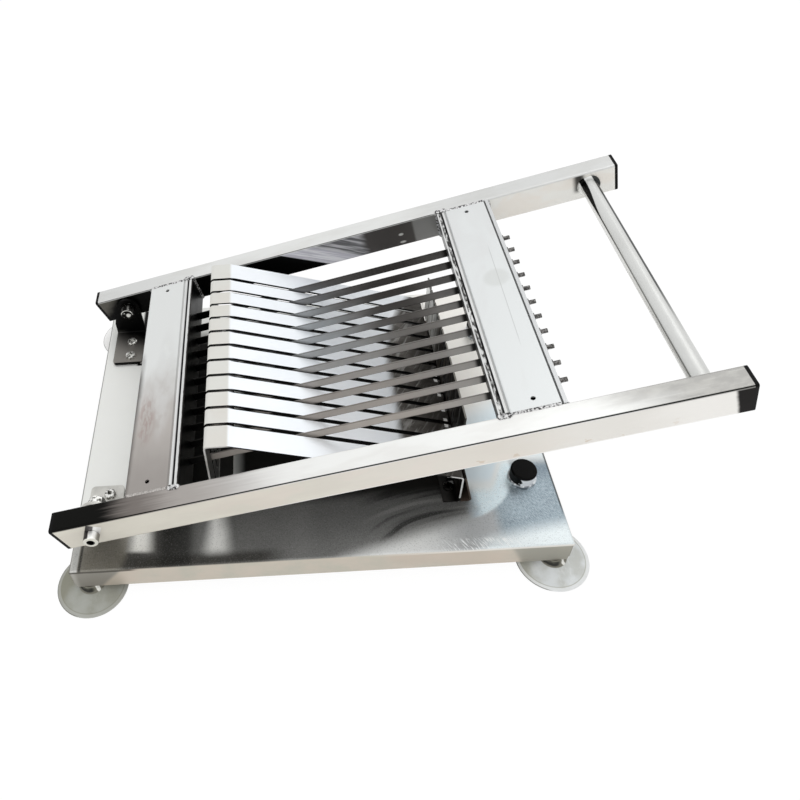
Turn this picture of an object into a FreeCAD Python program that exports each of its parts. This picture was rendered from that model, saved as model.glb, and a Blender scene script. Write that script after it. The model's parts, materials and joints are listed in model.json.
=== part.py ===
"""Hand-pressed roll cutter: a hinged frame of stretched blades over a slotted trough on a sheet base.

Millimetres. +X runs from the hinge to the handle, +Y away from the user, +Z up. The origin is on
the table, under the middle of the whole part as it stands, with its frame raised to rest_angle.
"""
import FreeCAD
import Part
import math
import os

V = FreeCAD.Vector

# Base tray: one folded sheet, open below, held up by its suction cups.
base_depth = 327.5
base_sheet = 1.5
base_height = 35.5
flange_depth = 24.5
base_bend = 2.5
base_past_buffer = 28.0
flange_mitre = 2.5
corner_relief = 0.8

# Suction cups and their studs.
cup_radius = 32.0
cup_lip = 1.2
cup_lip_width = 4.0
cup_lip_rise = 0.5
cup_bend_radius = 20.2
cup_bend_height = 3.1
cup_dome_height = 5.0
cup_wall = 1.8
cup_shoulder = 2.5
cup_neck_radius = 9.6
cup_neck_gap = 0.3
cup_inset_hinge_end = 13.5
cup_inset_handle_end = 12.0
cup_inset_side = 7.6
cup_stud_radius = 3.0
cup_stud_short = 0.5
cup_nut_flats = 10.0
cup_nut_height = 5.0

# Tilting frame, in its own plane: s along the arms from the hinge, n across them.
rest_angle = 14.25
hinge_inset = 27.5
hinge_height = 37.8
arm_gap = 262.0
arm_width = 20.0
arm_height = 30.0
arm_wall = 1.5
tube_corner = 2.0
arm_tail = 32.6
arm_reach = 518.4
arm_tail_slant = 3.8
cap_flange = 3.0
cap_plug_depth = 12.0
cap_plug_wall = 1.8
cap_clearance = 0.1
cap_edge_round = 0.8

# Cross tubes and the flat bars welded beside them.
cross_width = 40.0
cross_wall = 1.5
left_cross_start = 33.5
rail_thickness = 3.5
rail_seam = 1.6
bar_thickness = 3.0
drain_hole_radius = 2.0
drain_hole_inset = 10.3

# Blades, their anchor pins and their tension screws.
blade_count = 11
blade_pitch = 18.5
blade_height = 9.2
blade_thickness = 0.8
blade_drop = 6.6
blade_bevel = 1.6
blade_slot_gap = 0.35
blade_tail = 14.0
pin_radius = 1.5
pin_length = 9.0
pin_edge = 4.0
stud_radius = 2.0
stud_hole_gap = 0.2
fork_radius = 3.6
fork_length = 13.0
fork_slot_gap = 0.1
fork_slot_past_blade = 0.5
fork_behind_wall = 1.5
stud_tip = 5.8
tension_washer_radius = 4.5
tension_washer_thickness = 0.8
tension_nut_flats = 7.0
tension_nut_height = 3.2

# Handle bar and the rings welded round its ends.
handle_radius = 8.0
handle_bore = 6.5
handle_from_reach = 27.9
collar_radius = 11.0
collar_width = 3.0

# Hinge: bracket plates, bolts, bushes and washers.
bracket_sheet = 3.0
bracket_width = 31.0
bracket_behind = 18.0
bracket_foot = 52.2
bracket_top_radius = 12.5
bracket_shoulder = 17.0
bracket_bend = 4.5
bracket_corner = 4.0
bracket_screw_near = 21.5
bracket_screw_far = 42.2
bracket_screw_ahead = 0.5
pivot_radius = 4.0
pivot_head_radius = 6.5
pivot_head_height = 7.4
pivot_head_chamfer = 0.6
pivot_socket_flats = 6.0
pivot_socket_depth = 4.0
running_clearance = 0.05
side_clearance = 0.3
bush_radius = 6.0
thrust_washer_radius = 9.0
thrust_washer_thickness = 1.0
back_washer_radius = 8.0
back_washer_thickness = 1.6
lock_nut_flats = 13.0
lock_nut_height = 8.0
bolt_tip = 0.6

# Roll trough and stop comb, folded from one sheet thickness.
trough_sheet = 1.5
trough_length = 218.3
trough_rail_gap = 17.2
comb_rail_gap = 25.8
trough_top = 100.3
trough_top_width = 19.9
trough_valley = 35.8
trough_foot = 15.0
trough_side_strip = 23.1
trough_bend = 2.0
slot_width = 3.0
slot_floor_gap = 5.4
comb_top = 86.5
comb_shoulder = 35.8
comb_bend_height = 38.0
comb_splay = 9.3
comb_foot = 10.0

# Buffers that carry the frame when it is down, just past level.
down_angle = -1.25
down_clearance = 0.3
buffer_ahead = 6.5
buffer_from_middle = 94.5
buffer_pad_radius = 11.6
buffer_pad_height = 10.5
buffer_base_radius = 12.8
buffer_core_radius = 6.0
buffer_core_height = 6.0
buffer_pad_round = 1.6
buffer_screw_short = 0.5

# Screws shared by the base fittings: shank, head and nut.
m6 = dict(shank=3.0, head=5.25, head_height=3.3, socket=4.0, socket_depth=2.0, flats=10.0, nut=5.0)
m5 = dict(shank=2.5, head=4.75, head_height=2.8, socket=3.0, socket_depth=1.7, flats=8.0, nut=4.0)
m3 = dict(shank=1.5, head=2.85, head_height=1.65, socket=2.0, socket_depth=1.0, flats=5.5, nut=2.4)
screw_hole_gap = 0.25
thread_gap = 0.05
thread_tip = 1.5
trough_screw_inset = 8.0
trough_screw_from_end = 15.0
comb_screw_inset = 6.8
comb_screw_count = 4
comb_screw_short = 0.4

# Weld beads.
bead_width = 3.0
bead_rise = 0.6
fillet_leg = 2.0
dab_radius = 2.7
dab_rise = 1.1
dab_count = 3
dab_inset = 1.2
dab_over_arm = 0.9

# Places worked out from the sizes above. Those along the base are measured from its hinge edge.
half_depth = base_depth / 2
half_gap = arm_gap / 2
half_arm = arm_height / 2
plate_top = base_height
plate_under = base_height - base_sheet
lift = math.radians(rest_angle)
frame_front = hinge_inset + arm_reach * math.cos(lift) + half_arm * math.sin(lift)
cups_back = cup_inset_hinge_end - cup_radius
origin_inset = (frame_front + cups_back) / 2
pivot = V(hinge_inset - origin_inset, 0, plate_top + hinge_height)
blade_ys = [(blade_count // 2 - k) * blade_pitch for k in range(blade_count)]
left_cross_end = left_cross_start + cross_width
left_bar_end = left_cross_end + bar_thickness
left_rail_start = left_bar_end + rail_seam
left_rail_end = left_rail_start + rail_thickness
trough_start = hinge_inset + left_rail_end + trough_rail_gap
trough_end = trough_start + trough_length
comb_foot_x = trough_end + trough_sheet + comb_splay
right_rail_start = trough_end - hinge_inset + comb_rail_gap
right_rail_end = right_rail_start + rail_thickness
right_bar_start = right_rail_end + rail_seam
right_cross_start = right_bar_start + bar_thickness
right_cross_end = right_cross_start + cross_width
tension_bar_end = right_cross_end + bar_thickness
handle_s = arm_reach - handle_from_reach
bracket_start = hinge_inset - bracket_behind
buffer_x = hinge_inset + right_cross_start + cross_width / 2 + buffer_ahead
base_length = buffer_x + base_past_buffer


def height_down(drop, x):
    """Height over the plate, with the frame down, of the line that runs drop below the arms' middle."""
    down = math.radians(down_angle)
    return hinge_height - drop / math.cos(down) + (x - hinge_inset) * math.tan(down)


buffer_height = height_down(half_arm, buffer_x + buffer_pad_radius) - down_clearance
buffer_base_height = buffer_height - buffer_pad_height
slot_floor = height_down(blade_drop + blade_height / 2, comb_foot_x) - slot_floor_gap


def box(x0, x1, y0, y1, z0, z1):
    return Part.makeBox(x1 - x0, y1 - y0, z1 - z0, V(x0, y0, z0))


def rod(radius, start, end):
    line = end - start
    return Part.makeCylinder(radius, line.Length, start, line)


def ring(outer, inner, start, end):
    return rod(outer, start, end).cut(rod(inner, start, end))


def prism(points, y0, y1):
    """A flat outline of (x, z) points, drawn out along Y."""
    corners = [V(x, y0, z) for x, z in points]
    face = Part.Face(Part.makePolygon(corners + corners[:1]))
    return face.extrude(V(0, y1 - y0, 0))


def hexagon(flats, start, end, turn=0.0):
    """A hexagonal prism between two points on its axis."""
    line = end - start
    radius = flats / math.sqrt(3)
    angles = [math.radians(turn + 60 * k) for k in range(6)]
    points = [V(radius * math.cos(a), radius * math.sin(a), 0) for a in angles]
    solid = Part.Face(Part.makePolygon(points + points[:1])).extrude(V(0, 0, line.Length))
    solid.Placement = FreeCAD.Placement(start, FreeCAD.Rotation(V(0, 0, 1), line))
    return solid


def hex_nut(flats, bore, start, end, turn=0.0):
    """A nut with its corners turned off at both ends."""
    line = end - start
    nut = hexagon(flats, start, end, turn).cut(rod(bore, start, end))
    corner = flats / math.sqrt(3)
    blank = rod(corner, start, end)
    rims = [e for e in blank.Edges if len(e.Vertexes) == 1 and e.Length > 2 * corner]
    return nut.common(blank.makeChamfer(min(0.07 * flats, 0.3 * line.Length), rims))


def edges_along(shape, direction, keep):
    """Straight edges of a shape along one direction whose middle passes a test."""
    found = []
    for edge in shape.Edges:
        if len(edge.Vertexes) != 2 or not isinstance(edge.Curve, Part.Line):
            continue
        run = edge.Vertexes[1].Point - edge.Vertexes[0].Point
        if run.cross(direction).Length < 1e-6 * run.Length and keep(edge.CenterOfMass):
            found.append(edge)
    return found


def everywhere(point):
    """Keeps every edge that edges_along finds."""
    return True


def cut_all(shape, tools):
    return shape.cut(Part.makeCompound(tools)) if tools else shape


def mirrored(shape):
    """The same piece on the other side of the middle plane."""
    return shape.mirror(V(0, 0, 0), V(0, 1, 0))


def both_sides(shape):
    return Part.makeCompound([shape, mirrored(shape)])


def raised(shape):
    """Carry a piece from the frame's own plane to where the raised frame holds it."""
    shape.rotate(V(0, 0, 0), V(0, 1, 0), -rest_angle)
    shape.translate(pivot)
    return shape


def write(name, shape):
    if not shape.isValid():
        raise ValueError(name + " is not a valid shape")
    shape.exportStep("parts/" + name + ".step")


def base_x(from_hinge_edge):
    """A place along the base, measured from its hinge edge."""
    return from_hinge_edge - origin_inset


def button_screw(size, x, y, seat, tip, up=True):
    """Button-head screw with a hexagon socket; its head sits at height seat, its tip at height tip."""
    way = 1 if up else -1
    top = seat + way * size["head_height"]
    head = rod(size["head"], V(x, y, seat), V(x, y, top))
    rim = [e for e in head.Edges if abs(e.CenterOfMass.z - top) < 1e-6 and len(e.Vertexes) == 1]
    head = head.makeFillet(0.62 * size["head_height"], rim)
    socket = hexagon(size["socket"], V(x, y, top - way * size["socket_depth"]), V(x, y, top + way))
    return head.fuse(rod(size["shank"], V(x, y, tip), V(x, y, seat))).cut(socket).removeSplitter()


def plain_nut(size, x, y, start, end, turn=0.0):
    return hex_nut(size["flats"], size["shank"] + thread_gap, V(x, y, start), V(x, y, end), turn)


# Where the base fittings stand. Each entry is (x, y).
cup_spots = [
    (base_x(cup_inset_hinge_end), half_depth - cup_inset_side),
    (base_x(base_length - cup_inset_handle_end), half_depth - cup_inset_side),
]
bracket_spots = [
    (pivot.x + bracket_screw_ahead, half_gap - bracket_screw_near),
    (pivot.x + bracket_screw_ahead, half_gap - bracket_screw_far),
]
trough_half = blade_ys[0] + trough_side_strip
trough_screw_spots = [
    (base_x(trough_start + trough_screw_inset), trough_half - trough_screw_from_end),
    (base_x(trough_end - trough_screw_inset), trough_half - trough_screw_from_end),
]
buffer_spot = (base_x(buffer_x), buffer_from_middle)
comb_screw_x = base_x(comb_foot_x - comb_screw_inset)
comb_screw_pitch = 2 * (trough_half - trough_screw_from_end) / (comb_screw_count - 1)
comb_screw_ys = [(k - (comb_screw_count - 1) / 2) * comb_screw_pitch for k in range(comb_screw_count)]


def base_tray():
    low = base_height - flange_depth
    back, front = base_x(0), base_x(base_length)
    shell = box(back, front, -half_depth, half_depth, low, plate_top)
    core = box(back + base_sheet, front - base_sheet,
               -half_depth + base_sheet, half_depth - base_sheet, low - 1, plate_under)

    def rounded(block, radius, height):
        rim = [e for e in block.Edges if abs(e.BoundBox.ZMin - height) < 1e-6
               and abs(e.BoundBox.ZMax - height) < 1e-6]
        return block.makeFillet(radius, rim)

    tray = rounded(shell, base_bend, plate_top).cut(rounded(core, base_bend - base_sheet, plate_under))
    bend_line = plate_top - base_bend
    cuts = []
    for edge, inward in ((back, 1), (front, -1)):
        mitre = [(edge - inward, bend_line), (edge + inward * corner_relief, bend_line),
                 (edge + inward * flange_mitre, low - 1), (edge - inward, low - 1)]
        cuts.append(both_sides(prism(mitre, half_depth - base_bend, half_depth + 1)))
        mitre = [(half_depth + 1, bend_line), (half_depth - corner_relief, bend_line),
                 (half_depth - flange_mitre, low - 1), (half_depth + 1, low - 1)]
        points = [V(edge - inward, y, z) for y, z in mitre]
        wedge = Part.Face(Part.makePolygon(points + points[:1])).extrude(V(inward * (base_bend + 1), 0, 0))
        cuts.append(both_sides(wedge))
        x0, x1 = sorted((edge - inward, edge + inward * corner_relief))
        cuts.append(both_sides(box(x0, x1, half_depth - corner_relief, half_depth + 1, low - 1, plate_top + 1)))
    tray = cut_all(tray, cuts)

    def hole(spot, radius):
        return both_sides(rod(radius, V(spot[0], spot[1], plate_under - 1), V(spot[0], spot[1], plate_top + 1)))

    holes = [hole(spot, m6["shank"] + screw_hole_gap) for spot in bracket_spots]
    holes += [hole(spot, m5["shank"] + screw_hole_gap) for spot in trough_screw_spots]
    holes.append(hole(buffer_spot, m5["shank"] + screw_hole_gap))
    for y in comb_screw_ys:
        holes.append(rod(m3["shank"] + screw_hole_gap, V(comb_screw_x, y, plate_under - 1),
                         V(comb_screw_x, y, plate_top + 1)))
    return cut_all(tray, holes)


def suction_cup(x, y):
    """A flattened dome with a flat lip and a short neck, moulded round its stud."""
    neck_top = base_height - flange_depth - cup_neck_gap
    lip_in = cup_radius - cup_lip_width
    stud = cup_stud_radius + running_clearance
    stud_low = cup_dome_height - cup_wall
    hollow = cup_dome_height - 2 * cup_wall
    outline = [V(cup_radius - cup_lip, 0, 0), V(cup_radius, 0, cup_lip / 2),
               V(cup_radius - cup_lip / 3, 0, cup_lip), V(lip_in, 0, cup_lip + cup_lip_rise),
               V(cup_bend_radius, 0, cup_bend_height),
               V(cup_neck_radius + cup_shoulder, 0, cup_dome_height),
               V(cup_neck_radius, 0, cup_dome_height + cup_shoulder / 2),
               V(cup_neck_radius, 0, neck_top), V(stud, 0, neck_top), V(stud, 0, stud_low),
               V(0, 0, stud_low), V(0, 0, hollow), V(cup_neck_radius, 0, hollow),
               V(cup_bend_radius, 0, cup_bend_height - 0.8 * cup_wall), V(lip_in, 0, 0)]
    face = Part.Face(Part.makePolygon(outline + outline[:1]))
    cup = face.revolve(V(0, 0, 0), V(0, 0, 1), 360)
    cup.translate(V(x, y, 0))
    return cup


def cup_stud(x, y):
    return rod(cup_stud_radius, V(x, y, cup_dome_height - cup_wall + running_clearance),
               V(x, y, plate_under - cup_stud_short))


def cup_nut(x, y):
    return hex_nut(cup_nut_flats, cup_stud_radius + thread_gap,
                   V(x, y, plate_under - cup_nut_height), V(x, y, plate_under), 0.0)


def hinge_bracket():
    """The far bracket: a foot on the base, bent up into an ear beside the arm."""
    outer = half_gap - side_clearance - thrust_washer_thickness
    x0 = base_x(bracket_start)
    x1 = x0 + bracket_width
    foot_end = half_gap - bracket_foot
    foot = box(x0, x1, foot_end, outer, plate_top, plate_top + bracket_sheet)
    foot = foot.makeFillet(bracket_corner, edges_along(foot, V(0, 0, 1), lambda p: p.y < foot_end + 1))
    shoulder = plate_top + bracket_shoulder
    ear = box(x0, x1, outer - bracket_sheet, outer, plate_top, shoulder)
    crown = rod(bracket_top_radius, V(pivot.x, outer - bracket_sheet, pivot.z), V(pivot.x, outer, pivot.z))
    sides = []
    for corner_x, side in ((x0, -1), (x1, 1)):
        reach = V(corner_x - pivot.x, 0, shoulder - pivot.z)
        away = math.atan2(reach.z, reach.x)
        open_angle = math.acos(bracket_top_radius / reach.Length)
        touch = away + side * open_angle
        sides.append((pivot.x + bracket_top_radius * math.cos(touch),
                      pivot.z + bracket_top_radius * math.sin(touch)))
    web = prism([(x0, shoulder), (x1, shoulder), sides[1], (pivot.x, pivot.z), sides[0]],
                outer - bracket_sheet, outer)
    bracket = foot.fuse([ear, crown, web]).removeSplitter()
    bend = edges_along(bracket, V(1, 0, 0), lambda p: abs(p.y - outer) < 1e-6 and abs(p.z - plate_top) < 1e-6)
    bracket = bracket.makeFillet(bracket_bend, bend)
    inside = edges_along(bracket, V(1, 0, 0), lambda p: abs(p.y - outer + bracket_sheet) < 1e-6
                         and abs(p.z - plate_top - bracket_sheet) < 1e-6)
    bracket = bracket.makeFillet(bracket_bend - bracket_sheet, inside)
    holes = [rod(m6["shank"] + screw_hole_gap, V(x, y, plate_top - 1), V(x, y, plate_top + bracket_sheet + 1))
             for x, y in bracket_spots]
    holes.append(rod(pivot_radius + running_clearance, V(pivot.x, outer - bracket_sheet - 1, pivot.z),
                     V(pivot.x, outer + 1, pivot.z)))
    return cut_all(bracket, holes)


def pivot_stack():
    """Distances from the middle plane of the pieces on the far pivot bolt, from the head inward."""
    head_seat = half_gap + arm_width + side_clearance
    ear_outer = half_gap - side_clearance - thrust_washer_thickness
    ear_inner = ear_outer - bracket_sheet
    nut_seat = ear_inner - back_washer_thickness
    nut_end = nut_seat - lock_nut_height
    return head_seat, ear_outer, ear_inner, nut_seat, nut_end


def on_pivot(y):
    return V(pivot.x, y, pivot.z)


def pivot_bolt():
    head_seat, _, _, _, nut_end = pivot_stack()
    head_top = head_seat + pivot_head_height
    head = rod(pivot_head_radius, on_pivot(head_seat), on_pivot(head_top))
    rim = [e for e in head.Edges if abs(e.CenterOfMass.y - head_top) < 1e-6 and len(e.Vertexes) == 1]
    head = head.makeChamfer(pivot_head_chamfer, rim)
    shank = rod(pivot_radius, on_pivot(nut_end - bolt_tip), on_pivot(head_seat))
    socket = hexagon(pivot_socket_flats, on_pivot(head_top - pivot_socket_depth), on_pivot(head_top + 1))
    return head.fuse(shank).cut(socket).removeSplitter()


def pivot_washers():
    _, ear_outer, ear_inner, nut_seat, _ = pivot_stack()
    bore = pivot_radius + running_clearance
    thrust = ring(thrust_washer_radius, bore, on_pivot(ear_outer),
                  on_pivot(ear_outer + thrust_washer_thickness))
    back = ring(back_washer_radius, bore, on_pivot(nut_seat), on_pivot(ear_inner))
    return [thrust, back]


def pivot_nut():
    _, _, _, nut_seat, nut_end = pivot_stack()
    return hex_nut(lock_nut_flats, pivot_radius + thread_gap, on_pivot(nut_end), on_pivot(nut_seat), 15.0)


def folded_sheet(path, thickness, y0, y1, bend):
    """A sheet folded along a path of (x, z) points; its thickness lies on the path's right."""
    def shifted(a, b):
        run = V(b[0] - a[0], 0, b[1] - a[1]).normalize()
        side = V(run.z, 0, -run.x) * thickness
        return V(a[0], 0, a[1]) + side, run

    lines = [shifted(a, b) for a, b in zip(path, path[1:])]
    inner = [lines[0][0]]
    for (p, u), (q, w) in zip(lines, lines[1:]):
        cross = u.x * w.z - u.z * w.x
        gap = q - p
        inner.append(p + u * ((gap.x * w.z - gap.z * w.x) / cross))
    last_point, last_run = lines[-1]
    length = math.hypot(path[-1][0] - path[-2][0], path[-1][1] - path[-2][1])
    inner.append(last_point + last_run * length)
    points = list(path) + [(p.x, p.z) for p in reversed(inner)]
    sheet = prism(points, y0, y1)

    def near(places):
        return lambda p: any(math.hypot(p.x - x, p.z - z) < 1e-4 for x, z in places)

    turns = [(a, (b.x, b.z)) for a, b in zip(path[1:-1], inner[1:-1])]
    for out_point, in_point in turns:
        before = path[path.index(out_point) - 1]
        after = path[path.index(out_point) + 1]
        first = (out_point[0] - before[0], out_point[1] - before[1])
        second = (after[0] - out_point[0], after[1] - out_point[1])
        right_turn = first[0] * second[1] - first[1] * second[0] < 0
        tight, wide = (in_point, out_point) if right_turn else (out_point, in_point)
        sheet = sheet.makeFillet(bend, edges_along(sheet, V(0, 1, 0), near([tight])))
        sheet = sheet.makeFillet(bend + thickness, edges_along(sheet, V(0, 1, 0), near([wide])))
    return sheet


def blade_slots(x0, x1, low, high):
    return [box(x0, x1, y - slot_width / 2, y + slot_width / 2, low, high) for y in blade_ys]


def roll_trough():
    x0, x1 = base_x(trough_start), base_x(trough_end)
    top, valley = plate_top + trough_top, plate_top + trough_valley
    path = [(x0 + trough_foot, plate_top), (x0, plate_top), (x0, top), (x0 + trough_top_width, top),
            (x1, valley), (x1, plate_top), (x1 - trough_foot, plate_top)]
    sheet = folded_sheet(path, trough_sheet, -trough_half, trough_half, trough_bend)
    slots = blade_slots(x0 - 1, x1 + 1, plate_top + slot_floor, top + 1)
    holes = [both_sides(rod(m5["shank"] + screw_hole_gap, V(x, y, plate_top - 1),
                            V(x, y, plate_top + trough_sheet + 1))) for x, y in trough_screw_spots]
    return cut_all(sheet, slots + holes)


def stop_comb():
    """A splayed sheet behind the trough; above its shoulders only the fingers between blades go on up."""
    face = base_x(trough_end) + trough_sheet
    foot = base_x(comb_foot_x)
    path = [(face, plate_top + comb_top), (face, plate_top + comb_bend_height), (foot, plate_top),
            (foot - comb_foot, plate_top)]
    sheet = folded_sheet(path, trough_sheet, -trough_half, trough_half, trough_bend)
    slots = blade_slots(face - trough_sheet - 1, foot + 1, plate_top + slot_floor, plate_top + comb_top + 1)
    shoulders = both_sides(box(face - trough_sheet - 1, face + 1, blade_ys[0], trough_half + 1,
                               plate_top + comb_shoulder, plate_top + comb_top + 1))
    holes = [rod(m3["shank"] + screw_hole_gap, V(comb_screw_x, y, plate_top - 1),
                 V(comb_screw_x, y, plate_top + trough_sheet + 1)) for y in comb_screw_ys]
    return cut_all(sheet, slots + holes + [shoulders])


def buffer_base():
    """A disc on the base with a threaded core that the rubber is moulded over."""
    x, y = buffer_spot
    top = plate_top + buffer_base_height
    body = rod(buffer_base_radius, V(x, y, plate_top), V(x, y, top))
    rim = [e for e in body.Edges if len(e.Vertexes) == 1 and e.CenterOfMass.z > top - 1e-6]
    body = body.makeFillet(buffer_pad_round, rim)
    body = body.fuse(rod(buffer_core_radius, V(x, y, plate_top), V(x, y, top + buffer_core_height)))
    thread_end = top + buffer_core_height - thread_tip
    return body.cut(rod(m5["shank"] + thread_gap, V(x, y, plate_top - 1), V(x, y, thread_end)))


def buffer_pad():
    x, y = buffer_spot
    low = plate_top + buffer_base_height
    pad = rod(buffer_pad_radius, V(x, y, low), V(x, y, low + buffer_pad_height))
    rim = [e for e in pad.Edges if len(e.Vertexes) == 1 and e.CenterOfMass.z > low + 1]
    core = rod(buffer_core_radius, V(x, y, low - 1), V(x, y, low + buffer_core_height))
    return pad.makeFillet(buffer_pad_round, rim).cut(core)


def tube(s0, s1, y0, y1, n0, n1, wall, along):
    """Rectangular tube with rounded long edges, open at both ends."""
    outer = box(s0, s1, y0, y1, n0, n1)
    outer = outer.makeFillet(tube_corner, edges_along(outer, along, everywhere))
    w = [0 if abs(along.x) > 0 else wall, 0 if abs(along.y) > 0 else wall]
    inner = box(s0 + w[0], s1 - w[0], y0 + w[1], y1 - w[1], n0 + wall, n1 - wall)
    return outer.cut(inner.makeFillet(tube_corner - wall, edges_along(inner, along, everywhere)))


def tail_slab(top_s, depth, y0, y1):
    """A slice across the arm's sloping tail, from its outer face inward by depth."""
    low_s = top_s + arm_tail_slant
    return prism([(top_s, half_arm), (top_s + depth, half_arm), (low_s + depth, -half_arm),
                  (low_s, -half_arm)], y0, y1)


def arm(far):
    y0 = half_gap if far else -half_gap - arm_width
    y1 = y0 + arm_width
    body = tube(-arm_tail - 1, arm_reach - cap_flange, y0, y1, -half_arm, half_arm, arm_wall, V(1, 0, 0))
    body = body.cut(tail_slab(-arm_tail - 2 * arm_height, 2 * arm_height + cap_flange, y0 - 1, y1 + 1))
    return body.cut(rod(bush_radius, V(0, y0 - 1, 0), V(0, y1 + 1, 0)))


def arm_cap(far, tail):
    """Push-in end plug: a flange over the tube's end and a hollow plug inside it."""
    y0 = half_gap if far else -half_gap - arm_width
    y1 = y0 + arm_width
    span = 2 * (cap_flange + cap_plug_depth)
    if tail:
        blank = box(-arm_tail - span, -arm_tail + span, y0, y1, -half_arm, half_arm)
        flange_cut = tail_slab(-arm_tail, cap_flange, y0, y1)
        plug_cut = tail_slab(-arm_tail + cap_flange, cap_plug_depth, y0, y1)
    else:
        blank = box(arm_reach - span, arm_reach, y0, y1, -half_arm, half_arm)
        flange_cut = box(arm_reach - cap_flange, arm_reach, y0, y1, -half_arm, half_arm)
        plug_cut = box(arm_reach - cap_flange - cap_plug_depth, arm_reach - cap_flange, y0, y1,
                       -half_arm, half_arm)
    blank = blank.makeFillet(tube_corner, edges_along(blank, V(1, 0, 0), everywhere))
    inset = arm_wall + cap_clearance
    bore = inset + cap_plug_wall
    core = box(-arm_tail - span, arm_reach + span, y0 + inset, y1 - inset, -half_arm + inset, half_arm - inset)
    plug = plug_cut.common(core.makeFillet(tube_corner - arm_wall, edges_along(core, V(1, 0, 0), everywhere)))
    plug = plug.cut(box(-arm_tail - span, arm_reach + span, y0 + bore, y1 - bore,
                        -half_arm + bore, half_arm - bore))
    flange = blank.common(flange_cut)
    if not tail:
        face = arm_reach
        rim = [e for e in flange.Edges if abs(e.BoundBox.XMin - face) < 1e-6]
        flange = flange.makeFillet(cap_edge_round, rim)
    return flange.fuse(plug)


def pivot_bush():
    y0 = half_gap
    return ring(bush_radius, pivot_radius + running_clearance, V(0, y0, 0), V(0, y0 + arm_width, 0))


def blade_window(s0, s1, y, gap):
    """The opening that one blade passes through."""
    return box(s0, s1, y - blade_thickness / 2 - gap, y + blade_thickness / 2 + gap,
               -blade_drop - blade_height / 2 - gap, -blade_drop + blade_height / 2 + gap)


def cross_tube(right):
    s0 = right_cross_start if right else left_cross_start
    body = tube(s0, s0 + cross_width, -half_gap, half_gap, -half_arm, half_arm, cross_wall, V(0, 1, 0))
    middle = s0 + cross_width / 2
    drain_y = half_gap - drain_hole_inset
    cuts = [both_sides(rod(drain_hole_radius, V(middle, drain_y, half_arm - cross_wall - 1),
                           V(middle, drain_y, half_arm + 1)))]
    blade_wall = s0 if right else s0 + cross_width - cross_wall
    for y in blade_ys:
        if right:
            cuts.append(rod(fork_radius + blade_slot_gap, V(blade_wall - 1, y, -blade_drop),
                            V(blade_wall + cross_wall + 1, y, -blade_drop)))
            cuts.append(rod(stud_radius + stud_hole_gap, V(right_cross_end - cross_wall - 1, y, -blade_drop),
                            V(right_cross_end + 1, y, -blade_drop)))
        cuts.append(blade_window(blade_wall - 1, blade_wall + cross_wall + 1, y, blade_slot_gap))
    return cut_all(body, cuts)


def slotted_bar(s0, s1):
    """A flat bar between the arms with one window for each blade."""
    bar = box(s0, s1, -half_gap, half_gap, -half_arm, half_arm)
    return cut_all(bar, [blade_window(s0 - 1, s1 + 1, y, blade_slot_gap) for y in blade_ys])


def tension_bar():
    bar = box(right_cross_end, tension_bar_end, -half_gap, half_gap, -half_arm, half_arm)
    holes = [rod(stud_radius + stud_hole_gap, V(right_cross_end - 1, y, -blade_drop),
                 V(tension_bar_end + 1, y, -blade_drop)) for y in blade_ys]
    return cut_all(bar, holes)


blade_left = left_cross_end - cross_wall - pin_radius - pin_edge
blade_right = right_cross_start + blade_tail
left_pin_s = left_cross_end - cross_wall - pin_radius
right_pin_s = blade_right - pin_edge
fork_start = right_cross_start + cross_wall + fork_behind_wall


def blade(y):
    """A thin strip, ground to an edge below, with a pin hole at each end."""
    half = blade_thickness / 2
    low, high = -blade_drop - blade_height / 2, -blade_drop + blade_height / 2
    section = [V(blade_left, y - half, high), V(blade_left, y + half, high),
               V(blade_left, y + half, low + blade_bevel), V(blade_left, y, low),
               V(blade_left, y - half, low + blade_bevel)]
    strip = Part.Face(Part.makePolygon(section + section[:1])).extrude(V(blade_right - blade_left, 0, 0))
    holes = [rod(pin_radius + running_clearance, V(s, y - 1, -blade_drop), V(s, y + 1, -blade_drop))
             for s in (left_pin_s, right_pin_s)]
    return cut_all(strip, holes)


def cross_pin(s, y):
    return rod(pin_radius, V(s, y - pin_length / 2, -blade_drop), V(s, y + pin_length / 2, -blade_drop))


def tension_stud(y):
    """Screw with a forked end that grips a blade."""
    fork_end = V(fork_start + fork_length, y, -blade_drop)
    tip = tension_bar_end + tension_washer_thickness + tension_nut_height + stud_tip
    fork = rod(fork_radius, V(fork_start, y, -blade_drop), fork_end)
    shank = rod(stud_radius, fork_end, V(tip, y, -blade_drop))
    gap = blade_thickness / 2 + fork_slot_gap
    slot = box(fork_start - 1, blade_right + fork_slot_past_blade, y - gap, y + gap,
               -blade_drop - fork_radius - 1, -blade_drop + fork_radius + 1)
    hole = rod(pin_radius + running_clearance, V(right_pin_s, y - fork_radius - 1, -blade_drop),
               V(right_pin_s, y + fork_radius + 1, -blade_drop))
    return fork.fuse(shank).cut(slot).cut(hole)


def tension_washer(y):
    return ring(tension_washer_radius, stud_radius + thread_gap, V(tension_bar_end, y, -blade_drop),
                V(tension_bar_end + tension_washer_thickness, y, -blade_drop))


def tension_nut(y):
    start = tension_bar_end + tension_washer_thickness
    return hex_nut(tension_nut_flats, stud_radius + thread_gap, V(start, y, -blade_drop),
                   V(start + tension_nut_height, y, -blade_drop))


def handle_bar():
    return ring(handle_radius, handle_bore, V(handle_s, -half_gap, 0), V(handle_s, half_gap, 0))


def handle_collar():
    collar = rod(collar_radius, V(handle_s, half_gap - collar_width, 0), V(handle_s, half_gap, 0))
    rim = [e for e in collar.Edges if len(e.Vertexes) == 1 and e.CenterOfMass.y < half_gap - 1]
    collar = collar.makeFillet(0.7 * collar_width, rim)
    return collar.cut(rod(handle_radius, V(handle_s, half_gap - collar_width - 1, 0),
                          V(handle_s, half_gap + 1, 0)))


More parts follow.
